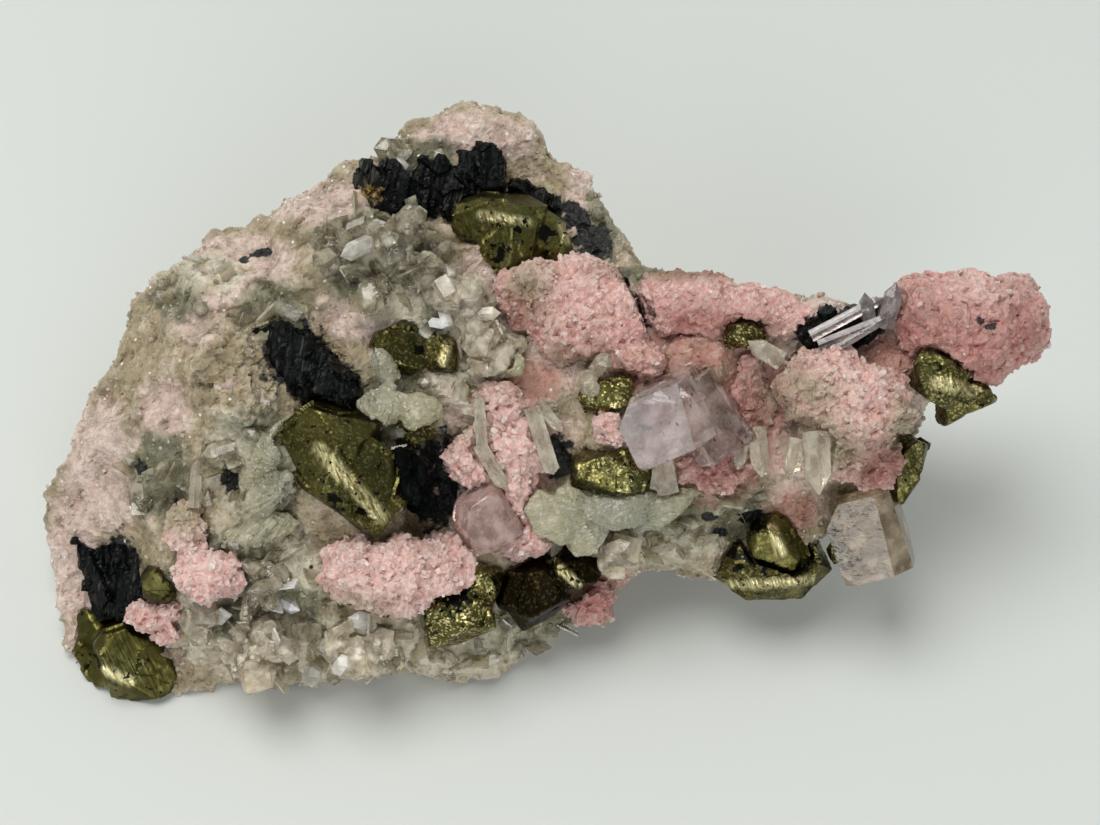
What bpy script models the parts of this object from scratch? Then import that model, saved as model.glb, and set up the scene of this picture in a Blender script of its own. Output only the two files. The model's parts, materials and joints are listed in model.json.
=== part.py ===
# Rhodochrosite specimen: a granular rock with a thick left lump and a thinner arm on the
# right, and on its leaning front face the crystals that grew there.
#
# Every piece is shaped lying on that face, in millimetres: x runs across it, y up it and
# z out of it. The last step lays all of them at the face's real lean, in metres, +Z up.
# The origin is the middle of the flat underside that the rock rests on.

import math
import random

import bmesh
import bpy
from mathutils import Euler, Matrix, Vector
from mathutils.geometry import intersect_point_line

MM = 0.001

# Driving dimensions, in millimetres
FACE_LEAN = math.radians(35.0)       # the crystal face leans back this far from level
FACE_MIDDLE = Vector((19.0, -4.5, 19.0))  # where the face's own 0, 0, 0 is in the world
BACK_WALL = 23.0                     # how far back the rock reaches, in the world's y
UNDER_CUT = 3.0                      # rock made below the rest face, then cut away
LUMP_MIDDLE = (-19.0, -1.0)          # across and up: where the lump's front is highest
LUMP_TOP, LUMP_FALL = 3.5, 9.5       # how far out that is, and the fall from there
LUMP_HALF = 27.0                     # to this far from it
ARM_START, ARM_LENGTH = 5.0, 33.0    # across: the arm's line
ARM_LOW, ARM_RISE = -1.0, 6.0        # up: where the line starts and how much it rises
ARM_TOP, ARM_FALL, ARM_HALF = 2.0, 5.5, 13.0  # the arm's front: height, fall and half width
ARM_ROUND_FROM, ARM_ROUND = 30.0, 0.02  # the arm's front falls off beyond its line's end by this
RIM_OUT, ARM_RIM_OUT = -5.0, -2.5    # how far out the rock's edge line is
ARM_FROM, ARM_TO = 3.0, 15.0         # across: the lump's thickness turns into the arm's
ARM_BACK = -12.0                     # out: the arm's back
FRONT_ROUND = 9.0                    # the rock's edge rounds into its front over this
BACK_ROUND = 5.5                     # and into its back over this
RIM_HALF = 1.2                       # half of the rock's thickness at its very edge
GAP = 0.3                            # clearance between a piece and what it grows on
CRYSTAL_SWELL = 1.6                  # a crystal's corners move this many gaps for one at its faces
FLAT_WITHIN = math.radians(11.0)     # faces that lean less than this apart are made one
ROCK_FACES = 1520                    # triangles of the rock
HALF_SLAB = 4.0                      # half of the flat slab that the rock is stretched from
ROCK_VOXELS = (1.4, 1.1, 0.9)        # cells of the slab, the stretched rock and the roughened rock
ROCK_GRAINS = (('CLOUDS', 8.0, 2.4), ('VORONOI', 5.0, 2.6), ('CLOUDS', 2.6, 1.4))  # size and depth
LUMP_VOXELS = (0.45, 0.5)            # cells of a pink mass before and after it is roughened
LUMP_GRAINS = (('VORONOI', 2.4, 1.5), ('CLOUDS', 1.2, 0.9))  # size and depth
BLOCK_LEAN = 0.25                    # how far the cut faces of a block lean at random
BLOCK_BEVEL = (0.74, 0.84)           # how deep a block's two bevelled edges are cut

# The rock's edge, seen square to the face: (across, up), clockwise from the lower left
ROCK_EDGE = (
    (-42.4, -28.2), (-45.0, -22.8), (-46.6, -17.4), (-47.4, -10.8), (-46.6, -6.2),
    (-42.8, -1.6), (-42.2, 2.0), (-39.6, 6.6), (-36.6, 10.8), (-31.2, 15.0),
    (-23.2, 19.6), (-18.5, 23.2), (-12.2, 26.4), (-8.7, 28.9), (-5.0, 29.0),
    (-2.4, 27.2), (2.6, 22.4), (5.2, 18.4), (6.4, 14.2), (11.2, 13.2),
    (16.0, 11.6), (22.4, 10.0), (29.5, 9.8), (34.0, 9.6), (38.2, 7.6),
    (38.6, 4.6), (35.4, 1.4), (33.0, -2.5), (30.6, -6.6), (27.6, -9.8),
    (24.4, -12.4), (21.0, -13.9), (15.6, -14.4), (9.2, -14.0), (6.8, -15.2),
    (4.6, -18.0), (0.9, -20.6), (-3.7, -22.6), (-8.8, -24.3), (-15.7, -24.4),
    (-23.1, -25.1), (-28.2, -26.1), (-32.4, -24.9), (-36.5, -25.9),
)

# Rises and hollows of the front: (across, up, half width, half height, how far out)
FRONT_RELIEF = {
    "beige dome": (-27.5, 3.0, 6.0, 6.5, 1.6),
    "grey shoulder": (-14.5, 13.0, 6.5, 3.5, 1.2),
    "pale top rim": (-8.0, 24.6, 11.0, 2.6, 2.2),
    "upper right rim": (5.2, 18.6, 2.6, 4.0, 1.6),
    "top black hollow": (-11.5, 19.8, 5.5, 2.6, -2.2),
    "second black hollow": (0.5, 17.8, 4.5, 2.6, -1.8),
    "middle black hollow": (-20.2, 3.4, 3.4, 4.6, -3.0),
    "lower left black hollow": (-39.8, -15.8, 3.0, 5.4, -3.2),
    "deep pocket": (-10.0, -6.4, 2.0, 4.4, -10.0),
    "slot by the column": (0.6, -3.8, 1.7, 2.0, -4.0),
    "left slot": (-28.4, -5.8, 1.6, 2.2, -3.0),
    "far left slot": (-36.8, -4.7, 1.6, 1.3, -2.6),
    "arm recess": (18.0, 1.0, 5.0, 5.0, -3.0),
    "slot in the recess": (18.1, 4.4, 1.2, 0.9, -3.0),
    "slot under the arm": (16.8, -10.0, 3.6, 1.3, -3.0),
    "lower shelf": (-18.0, -20.5, 14.0, 2.4, 1.6),
}

# Rises and hollows of the broken back: (across, height above rest, half width, half height, rise)
BACK_RELIEF = {
    "left buttress": (-31.0, 8.0, 8.0, 14.0, -5.0),
    "hollow behind the ridge": (-14.0, 21.0, 7.0, 7.0, 4.5),
    "low ledge": (-16.0, 5.0, 12.0, 4.0, -3.0),
    "right hollow": (1.0, 11.0, 5.0, 9.0, 5.0),
    "upper step": (-27.0, 26.0, 6.0, 4.0, 4.0),
    "arm keel": (18.0, 12.0, 8.0, 5.0, -3.0),
    "arm notch": (29.0, 16.0, 4.0, 5.0, 3.0),
}

ROCK, PINK, BRASS, BLACK, QUARTZ, CALCITE, FLUORITE = (
    "granular_rock", "pink_rhodochrosite", "chalcopyrite", "black_sphalerite",
    "quartz", "calcite", "fluorite")

# Base colour, roughness, metallic
FINISHES = {
    ROCK: ((0.60, 0.47, 0.43), 0.75, 0.0),
    PINK: ((0.83, 0.42, 0.41), 0.55, 0.0),
    BRASS: ((0.40, 0.33, 0.13), 0.35, 1.0),
    BLACK: ((0.02, 0.022, 0.025), 0.25, 0.0),
    QUARTZ: ((0.66, 0.68, 0.62), 0.15, 0.0),
    CALCITE: ((0.72, 0.71, 0.55), 0.20, 0.0),
    FLUORITE: ((0.78, 0.70, 0.76), 0.08, 0.0),
}


# ---------------------------------------------------------------- the scene

for old in list(bpy.data.objects):
    bpy.data.objects.remove(old, do_unlink=True)

parts = bpy.data.collections.new("rhodochrosite_specimen")
cutters = bpy.data.collections.new("cutters")
shells = {}                          # each piece's cutters, by its name
bpy.context.scene.collection.children.link(parts)
bpy.context.scene.collection.children.link(cutters)


def finish(name):
    """The named finish, made when it is first asked for."""
    known = bpy.data.materials.get(name)
    if known:
        return known
    colour, roughness, metallic = FINISHES[name]
    material = bpy.data.materials.new(name)
    material.use_nodes = True
    shader = material.node_tree.nodes["Principled BSDF"]
    shader.inputs["Base Color"].default_value = (*colour, 1.0)
    shader.inputs["Roughness"].default_value = roughness
    shader.inputs["Metallic"].default_value = metallic
    return material


def new_piece(name, bm, home):
    """An object from a bmesh, which is freed."""
    mesh = bpy.data.meshes.new(name)
    bm.to_mesh(mesh)
    bm.free()
    piece = bpy.data.objects.new(name, mesh)
    home.objects.link(piece)
    if home is cutters:
        piece.hide_render = True
        piece.display_type = 'WIRE'
    return piece


def apply_all(piece):
    """Leaves the piece with the mesh that its modifiers make."""
    graph = bpy.context.evaluated_depsgraph_get()
    mesh = bpy.data.meshes.new_from_object(piece.evaluated_get(graph))
    piece.modifiers.clear()
    piece.data = mesh


def remove(piece):
    bpy.data.objects.remove(piece, do_unlink=True)


# ---------------------------------------------------------------- the rock's form

def ease(value, start, end):
    """0 before start, 1 after end, smooth between."""
    share = min(max((value - start) / (end - start), 0.0), 1.0)
    return share * share * (3.0 - 2.0 * share)


def face_out(across, up):
    """How far out the front face is at a place on it."""
    from_middle = math.hypot(across - LUMP_MIDDLE[0], up - LUMP_MIDDLE[1])
    lump = LUMP_TOP - LUMP_FALL * (from_middle / LUMP_HALF) ** 2
    arm_line = ARM_LOW + ARM_RISE * min(max((across - ARM_START) / ARM_LENGTH, 0.0), 1.0)
    arm = ARM_TOP - ARM_FALL * ((up - arm_line) / ARM_HALF) ** 2
    arm -= ARM_ROUND * (max(across - ARM_ROUND_FROM, 0.0) ** 2 + max(ARM_START - across, 0.0) ** 2)
    out = max(lump, arm)
    for x, y, half_width, half_height, rise in FRONT_RELIEF.values():
        out += rise * math.exp(-((across - x) / half_width) ** 2 - ((up - y) / half_height) ** 2)
    return out


def back_out(across, up):
    """How far out the back is: the rest face or the back wall, or the arm's back."""
    lean_up, lean_out = math.sin(FACE_LEAN), math.cos(FACE_LEAN)
    under = -(FACE_MIDDLE.z + up * lean_up) / lean_out - UNDER_CUT
    wall = (up * lean_out - (BACK_WALL - FACE_MIDDLE.y)) / lean_up
    out = max(under, wall)
    out += (max(ARM_BACK, out) - out) * ease(across, ARM_FROM, ARM_TO)
    height = FACE_MIDDLE.z + up * lean_up + out * lean_out
    for x, z, half_width, half_height, rise in BACK_RELIEF.values():
        out += rise * math.exp(-((across - x) / half_width) ** 2
                               - ((height - z) / half_height) ** 2)
    return out


def edge_distance(across, up):
    """Distance from a place on the face to the rock's edge."""
    here = Vector((across, up, 0.0))
    nearest = math.inf
    for first, second in zip(ROCK_EDGE, ROCK_EDGE[1:] + ROCK_EDGE[:1]):
        start, end = Vector((*first, 0.0)), Vector((*second, 0.0))
        _, along = intersect_point_line(here, start, end)
        nearest = min(nearest, (start.lerp(end, min(max(along, 0.0), 1.0)) - here).length)
    return nearest


def quarter_round(share):
    share = min(max(share, 0.0), 1.0)
    return math.sqrt(1.0 - (1.0 - share) ** 2)


def rim_out(across):
    """How far out the rock's edge line is: deeper round the lump than round the arm."""
    return RIM_OUT + (ARM_RIM_OUT - RIM_OUT) * ease(across, ARM_FROM, ARM_TO)


def stretch_to_rock(slab):
    """Moves the slab's points so that it fills the space from the back to the front."""
    for vertex in slab.data.vertices:
        across, up, height = vertex.co
        edge = edge_distance(across, up)
        rim = rim_out(across)
        front = rim + RIM_HALF + (face_out(across, up) - rim) * quarter_round(edge / FRONT_ROUND)
        back = rim - RIM_HALF + (back_out(across, up) - rim) * quarter_round(edge / BACK_ROUND)
        share = min(max(0.5 + 0.5 * height / HALF_SLAB, 0.0), 1.0)
        vertex.co.z = back + (front - back) * share


def roughen(piece, pattern, size, depth):
    """Displaces the surface by a solid noise of the given grain size and depth."""
    grain = bpy.data.textures.new(f"{piece.name}_{pattern.lower()}", pattern)
    grain.noise_scale = size
    rough = piece.modifiers.new("rough", 'DISPLACE')
    rough.texture = grain
    rough.texture_coords = 'LOCAL'
    rough.strength = depth
    rough.mid_level = 0.5


def remesh(piece, voxel):
    even = piece.modifiers.new("even", 'REMESH')
    even.mode = 'VOXEL'
    even.voxel_size = voxel


def thin_out(piece, faces):
    """Decimates the piece to about this many triangles."""
    apply_all(piece)
    triangles = sum(len(face.vertices) - 2 for face in piece.data.polygons)
    fewer = piece.modifiers.new("fewer", 'DECIMATE')
    fewer.ratio = min(faces / triangles, 1.0)
    fewer.use_collapse_triangulate = True
    apply_all(piece)


def rock_matrix():
    outline = bpy.data.curves.new("rock_outline", 'CURVE')
    outline.dimensions = '2D'
    outline.fill_mode = 'BOTH'
    outline.extrude = HALF_SLAB
    spline = outline.splines.new('POLY')
    spline.points.add(len(ROCK_EDGE) - 1)
    for point, (across, up) in zip(spline.points, ROCK_EDGE):
        point.co = (across, up, 0.0, 1.0)
    spline.use_cyclic_u = True
    drawn = bpy.data.objects.new("rock_outline", outline)
    cutters.objects.link(drawn)
    graph = bpy.context.evaluated_depsgraph_get()
    bm = bmesh.new()
    bm.from_mesh(bpy.data.meshes.new_from_object(drawn.evaluated_get(graph)))
    bmesh.ops.remove_doubles(bm, verts=bm.verts, dist=0.01)
    bmesh.ops.recalc_face_normals(bm, faces=bm.faces)
    remove(drawn)
    rock = new_piece("rock_matrix", bm, parts)
    remesh(rock, ROCK_VOXELS[0])
    apply_all(rock)
    stretch_to_rock(rock)
    remesh(rock, ROCK_VOXELS[1])
    for pattern, size, depth in ROCK_GRAINS:
        roughen(rock, pattern, size, depth)
    apply_all(rock)
    remesh(rock, ROCK_VOXELS[2])
    thin_out(rock, ROCK_FACES)
    return rock


# ---------------------------------------------------------------- ways to make a crystal

def seat(across, up, lift=0.0):
    """A place on the front face, lifted out of it."""
    return Vector((across, up, face_out(across, up) + lift))


def keep_outer_flat(bm, normal, distance):
    """Cuts a convex crystal by one plane and closes the cut with a flat face."""
    normal = Vector(normal).normalized()
    geometry = bm.verts[:] + bm.edges[:] + bm.faces[:]
    cut = bmesh.ops.bisect_plane(bm, geom=geometry, dist=1e-5, plane_co=normal * distance,
                                 plane_no=normal, clear_outer=True)
    edges = [item for item in cut["geom_cut"] if isinstance(item, bmesh.types.BMEdge)]
    if edges:
        bmesh.ops.contextual_create(bm, geom=edges)


def place(bm, at, turn=(0.0, 0.0, 0.0), size=(1.0, 1.0, 1.0)):
    """Scales, turns (in degrees) and moves a crystal to its place on the face."""
    turned = Euler([math.radians(angle) for angle in turn]).to_matrix().to_4x4()
    sized = Matrix.Diagonal((*size, 1.0))
    bmesh.ops.transform(bm, verts=bm.verts, matrix=Matrix.Translation(at) @ turned @ sized)


def cut_block(at, size, turn, seed, corner=0.62, sharp=0.80):
    """A block whose corners are cut, four of them deeper: chalcopyrite, fluorite."""
    chance = random.Random(seed)
    bm = bmesh.new()
    bmesh.ops.create_cube(bm, size=2.0)
    for x in (-1.0, 1.0):
        for y in (-1.0, 1.0):
            for z in (-1.0, 1.0):
                depth = corner if x * y * z > 0.0 else sharp
                normal = [side * chance.uniform(1.0 - BLOCK_LEAN, 1.0 + BLOCK_LEAN)
                          for side in (x, y, z)]
                keep_outer_flat(bm, normal, depth * math.sqrt(3.0) * chance.uniform(0.94, 1.06))
    for side in ((1, 0, 1), (-1, 1, 0)):
        normal = [axis + chance.uniform(-BLOCK_LEAN, BLOCK_LEAN) for axis in side]
        keep_outer_flat(bm, normal, math.sqrt(2.0) * chance.uniform(*BLOCK_BEVEL))
    place(bm, at, turn, [0.5 * length for length in size])
    return bm


def quartz_point(at, radius, length, turn, tip=1.3):
    """A six-sided prism, from its root at the given place to its pointed end."""
    rise = tip * radius
    bm = bmesh.new()
    bmesh.ops.create_cone(bm, cap_ends=True, segments=6, radius1=radius, radius2=0.92 * radius,
                          depth=length - rise,
                          matrix=Matrix.Translation((0.0, 0.0, 0.5 * (length - rise))))
    top = [face for face in bm.faces if face.normal.z > 0.9]
    bmesh.ops.poke(bm, faces=top, offset=rise)
    place(bm, at, turn)
    return bm


def lens(at, size, turn):
    """A calcite lens: a flattened ball with a sharp edge."""
    bm = bmesh.new()
    bmesh.ops.create_uvsphere(bm, u_segments=7, v_segments=4, radius=1.0)
    place(bm, at, turn, [0.5 * length for length in size])
    return bm


def blade(at, size, turn, seed):
    """A thin block with slanted ends: a sphalerite ledge or a calcite blade."""
    chance = random.Random(seed)
    bm = bmesh.new()
    bmesh.ops.create_cube(bm, size=2.0)
    for side in (-1.0, 1.0):
        keep_outer_flat(bm, (chance.uniform(0.3, 0.6) * side, side, 0.2 * side), 1.0)
        keep_outer_flat(bm, (side, chance.uniform(-0.4, 0.4), 0.5), chance.uniform(0.95, 1.05))
    place(bm, at, turn, [0.5 * length for length in size])
    return bm


def swell(bm, by):
    """Moves a closed shape's points outwards along their normals."""
    bm.normal_update()
    moved = [(vertex, vertex.co + vertex.normal * by) for vertex in bm.verts]
    for vertex, target in moved:
        vertex.co = target


def clearance(name, shape, by):
    """A cutter of the shape, larger all round, kept under its piece's name."""
    grown = shape.copy()
    swell(grown, by)
    shells.setdefault(name, []).append(new_piece(f"{name}_cutter", grown, cutters))


def fuse(name, shapes, finish_name):
    """One solid from the crystals that grew together."""
    for shape in shapes:
        clearance(name, shape, CRYSTAL_SWELL * GAP)
    whole = new_piece(name, shapes[0], parts)
    for number, shape in enumerate(shapes[1:]):
        grown = new_piece(f"{name}_{number}", shape, cutters)
        union = whole.modifiers.new("grown together", 'BOOLEAN')
        union.operation = 'UNION'
        union.object = grown
        apply_all(whole)
        remove(grown)
    whole.data.materials.clear()
    whole.data.materials.append(finish(finish_name))
    return whole


def keep_clearance(mass):
    bm = bmesh.new()
    bm.from_mesh(mass.data)
    clearance(mass.name, bm, GAP)
    bm.free()


def ball(at, radii):
    bm = bmesh.new()
    bmesh.ops.create_icosphere(bm, subdivisions=3, radius=1.0)
    place(bm, at, size=radii)
    return bm


def lump(name, balls, faces):
    """A crystalline mass: balls grown into one, roughened and broken into flat faces.

    Each ball is (across, up, half width, half height, lift of its middle, half depth).
    """
    joined = bmesh.new()
    for across, up, half_width, half_height, lift, half_depth in balls:
        shape = ball(seat(across, up, lift), (half_width, half_height, half_depth))
        mesh = bpy.data.meshes.new("ball")
        shape.to_mesh(mesh)
        shape.free()
        joined.from_mesh(mesh)
        bpy.data.meshes.remove(mesh)
    mass = new_piece(name, joined, parts)
    remesh(mass, LUMP_VOXELS[0])
    for pattern, size, depth in LUMP_GRAINS:
        roughen(mass, pattern, size, depth)
    apply_all(mass)
    remesh(mass, LUMP_VOXELS[1])
    thin_out(mass, faces)
    keep_clearance(mass)
    mass.data.materials.clear()
    mass.data.materials.append(finish(PINK))
    return mass


# ---------------------------------------------------------------- trimming

def box_of(piece):
    corners = [vertex.co for vertex in piece.data.vertices]
    low = Vector([min(corner[axis] for corner in corners) for axis in range(3)])
    high = Vector([max(corner[axis] for corner in corners) for axis in range(3)])
    return low, high


def near(first, second):
    """True where the two pieces' boxes meet."""
    low_a, high_a = box_of(first)
    low_b, high_b = box_of(second)
    return all(low_a[axis] < high_b[axis] + GAP and low_b[axis] < high_a[axis] + GAP
               for axis in range(3))


def keep_largest(piece):
    """Drops the crumbs that a cut leaves beside the main body."""
    bm = bmesh.new()
    bm.from_mesh(piece.data)
    left = set(bm.verts)
    bodies = []
    while left:
        body, edge = set(), [left.pop()]
        while edge:
            vertex = edge.pop()
            body.add(vertex)
            for link in vertex.link_edges:
                other = link.other_vert(vertex)
                if other in left:
                    left.remove(other)
                    edge.append(other)
        bodies.append(body)
    bodies.sort(key=len, reverse=True)
    for crumb in bodies[1:]:
        bmesh.ops.delete(bm, geom=list(crumb), context='VERTS')
    bm.to_mesh(piece.data)
    bm.free()


def trim(piece, cutter):
    """Cuts the piece back from a neighbour that keeps its form."""
    cut = piece.modifiers.new("trim", 'BOOLEAN')
    cut.operation = 'DIFFERENCE'
    cut.object = cutter
    apply_all(piece)
    if not piece.data.vertices:
        raise ValueError(f"{piece.name} lies wholly inside {cutter.name}")
    keep_largest(piece)


def merge_flats(piece):
    """Joins the slivers of a cut into the flat faces they lie on."""
    flat = piece.modifiers.new("flats", 'DECIMATE')
    flat.decimate_type = 'DISSOLVE'
    flat.angle_limit = FLAT_WITHIN
    apply_all(piece)


# ---------------------------------------------------------------- the pieces

rock = rock_matrix()
rock.data.materials.clear()
rock.data.materials.append(finish(ROCK))
keep_clearance(rock)

# Pink rhodochrosite: (across, up, half width, half height, lift, half depth) of each ball
pink = [
    lump("rhodochrosite_oval", ((-16.8, -14.0, 3.4, 3.2, 2.2, 3.4),
                                (-13.2, -14.4, 3.9, 3.8, 2.4, 3.8),
                                (-9.6, -13.9, 3.3, 3.2, 2.2, 3.4)), 165),
    lump("rhodochrosite_left_lobes", ((-32.2, -10.4, 2.3, 2.5, 1.6, 2.4),
                                      (-30.0, -14.4, 3.7, 2.7, 1.8, 3.0)), 150),
    lump("rhodochrosite_fan", ((-1.4, 10.4, 3.5, 3.4, 2.6, 3.4), (3.0, 10.6, 3.8, 3.6, 2.6, 3.2),
                               (1.6, 7.2, 4.0, 3.0, 1.8, 2.8), (6.4, 7.6, 2.9, 4.2, 1.6, 2.8),
                               (8.0, 4.4, 2.4, 2.0, 1.2, 2.2)), 220),
    lump("rhodochrosite_column", ((-4.6, 0.4, 2.8, 2.4, 1.4, 2.4),
                                  (-6.6, -4.2, 2.6, 2.6, 1.4, 2.4),
                                  (-3.0, -3.4, 2.6, 3.0, 1.4, 2.4),
                                  (-3.6, -7.4, 2.8, 3.0, 1.4, 2.6),
                                  (-2.4, -11.2, 2.4, 2.4, 1.6, 2.4)), 190),
    lump("rhodochrosite_knob", ((5.6, -1.2, 2.2, 2.2, 1.2, 2.0),), 90),
    lump("rhodochrosite_slab", ((10.6, 9.6, 3.4, 3.0, 1.2, 2.4),
                                (14.4, 9.2, 3.4, 3.2, 1.6, 2.6),
                                (18.4, 8.8, 3.6, 2.8, 1.6, 2.4),
                                (21.2, 8.4, 2.4, 2.2, 1.2, 2.2)), 180),
    lump("rhodochrosite_recess", ((16.6, 4.4, 2.8, 2.0, 0.6, 2.2), (17.8, 0.4, 3.0, 3.8, 0.8, 2.4),
                                  (14.8, -4.4, 3.2, 2.8, 1.0, 2.2),
                                  (11.2, -5.8, 1.9, 1.9, 1.4, 1.8)), 160),
    lump("rhodochrosite_ball", ((24.2, 2.4, 4.4, 3.4, 2.6, 3.4), (27.4, 0.6, 4.2, 4.2, 2.8, 3.8),
                                (25.4, -3.0, 3.6, 2.6, 1.8, 2.8), (29.6, -4.8, 2.6, 2.4, 1.2, 2.2),
                                (22.4, -8.2, 4.2, 2.6, 1.4, 2.4)), 290),
    lump("rhodochrosite_tip", ((36.8, 7.2, 6.2, 5.2, 1.2, 4.6), (41.4, 8.2, 3.3, 4.0, 1.4, 4.0),
                               (33.2, 9.2, 3.4, 3.4, 1.4, 3.4)), 220),
    lump("rhodochrosite_lower_left", ((-35.4, -18.4, 3.0, 2.6, 1.6, 2.2),), 90),
    lump("rhodochrosite_bottom", ((3.6, -17.2, 2.7, 2.6, 1.6, 3.0),), 90),
]

# Chalcopyrite: cut blocks at (across, up, lift), with size, turn and seed
brass = [
    fuse("chalcopyrite_upper", [
        cut_block(seat(-4.6, 16.4, 1.8), (7.6, 6.4, 6.0), (18, -12, -14), 11),
        cut_block(seat(-0.9, 15.8, 1.8), (4.8, 5.0, 5.0), (-10, 20, 12), 12)], BRASS),
    fuse("chalcopyrite_centre", [
        cut_block(seat(-19.4, -3.0, 1.6), (7.0, 7.2, 6.4), (15, -18, -24), 21),
        cut_block(seat(-16.6, -6.2, 1.2), (7.8, 6.8, 6.2), (-14, 10, -38), 22)], BRASS),
    fuse("chalcopyrite_lower_left", [
        cut_block(seat(-38.4, -22.6, 2.2), (6.6, 7.2, 6.4), (12, 16, 20), 31),
        cut_block(seat(-41.4, -21.8, 1.4), (4.8, 7.8, 5.6), (-8, -20, 8), 32)], BRASS),
    fuse("chalcopyrite_pair", [
        cut_block(seat(-13.2, 5.6, 0.6), (4.6, 4.6, 4.2), (10, 15, 30), 41),
        cut_block(seat(-9.9, 5.0, 1.0), (3.2, 3.2, 3.2), (-12, 8, 5), 42)], BRASS),
    fuse("chalcopyrite_by_knob", [
        cut_block(seat(5.0, 1.6, 1.6), (4.8, 2.6, 2.6), (10, -10, 12), 51)], BRASS),
    fuse("chalcopyrite_middle", [
        cut_block(seat(5.4, -4.9, 1.4), (6.8, 3.8, 4.0), (20, 6, 4), 61)], BRASS),
    fuse("chalcopyrite_front", [
        cut_block(seat(-8.2, -18.0, 2.4), (6.2, 4.4, 5.0), (-18, 10, 10), 71),
        cut_block(seat(-6.6, -15.4, 1.6), (4.0, 3.8, 4.0), (12, 22, -20), 72)], BRASS),
    fuse("chalcopyrite_foot", [
        cut_block(seat(-1.6, -16.2, 2.0), (5.6, 5.0, 5.0), (-14, -16, 34), 81),
        cut_block(seat(1.8, -14.4, 2.0), (4.2, 4.2, 4.4), (16, 12, 58), 82)], BRASS),
    fuse("chalcopyrite_speck", [
        cut_block(seat(17.2, 6.9, 2.6), (3.4, 2.2, 2.2), (10, 10, 8), 91)], BRASS),
    fuse("chalcopyrite_tip", [
        cut_block(seat(34.0, 3.0, 2.8), (4.4, 3.8, 3.8), (12, -14, -32), 101),
        cut_block(seat(36.8, 1.2, 1.0), (4.8, 2.8, 3.8), (-8, 14, 24), 102)], BRASS),
    fuse("chalcopyrite_right_edge", [
        cut_block(seat(31.8, -4.9, 0.4), (2.8, 6.0, 4.0), (10, 12, -24), 111)], BRASS),
    fuse("chalcopyrite_wedge", [
        cut_block(seat(20.4, -11.7, 1.8), (4.4, 5.2, 4.4), (20, -10, 28), 121)], BRASS),
    fuse("chalcopyrite_bottom", [
        lens(seat(20.2, -13.8, 2.4), (11.8, 7.4, 6.4), (-14, 6, 2))], BRASS),
    fuse("chalcopyrite_chip", [
        cut_block(seat(26.6, -12.6, 2.6), (2.6, 2.2, 2.2), (0, 12, 20), 141)], BRASS),
    fuse("chalcopyrite_left_chip", [
        cut_block(seat(-35.2, -15.2, 2.2), (3.0, 3.2, 3.0), (14, 8, 12), 151)], BRASS),
    fuse("chalcopyrite_under_lens", [
        cut_block(seat(-12.2, -1.7, 0.8), (3.4, 2.4, 2.6), (0, 10, 16), 161)], BRASS),
]


def ledges(name, start, step, count, size, turn, seed):
    """A striated black mass: blades side by side, each a little higher or lower."""
    chance = random.Random(seed)
    shapes = []
    for number in range(count):
        at = seat(start[0] + number * step[0], start[1] + number * step[1],
                  start[2] + chance.uniform(-0.5, 0.5))
        swung = (turn[0] + chance.uniform(-8, 8), turn[1] + chance.uniform(-8, 8),
                 turn[2] + chance.uniform(-12, 12))
        shapes.append(blade(at, [length * chance.uniform(0.88, 1.12) for length in size],
                            swung, seed + number))
    return fuse(name, shapes, BLACK)


# Sphalerite: the first ledge, the step to the next, their number, size, turn and seed
black = [
    ledges("sphalerite_top", (-17.0, 18.8, 0.6), (2.2, 0.45), 6,
           (3.6, 7.2, 5.0), (0, 8, -18), 201),
    ledges("sphalerite_top_right", (-2.4, 19.2, 0.4), (2.1, -0.9), 4,
           (3.4, 5.6, 4.6), (0, -8, 24), 211),
    ledges("sphalerite_middle", (-22.6, 4.4, 0.8), (1.4, -1.3), 4,
           (5.0, 7.4, 4.8), (6, 6, 16), 221),
    ledges("sphalerite_lower_left", (-42.0, -15.8, 1.0), (1.6, -0.4), 4,
           (2.6, 9.6, 4.8), (6, -6, 8), 231),
    ledges("sphalerite_arm", (24.2, 7.2, 0.4), (1.9, 0.3), 3,
           (3.0, 4.4, 3.6), (0, 10, -60), 241),
    ledges("sphalerite_pocket", (-12.6, -5.6, 4.6), (0.8, -0.9), 2,
           (1.7, 5.2, 4.2), (0, 10, 12), 251),
]

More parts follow.
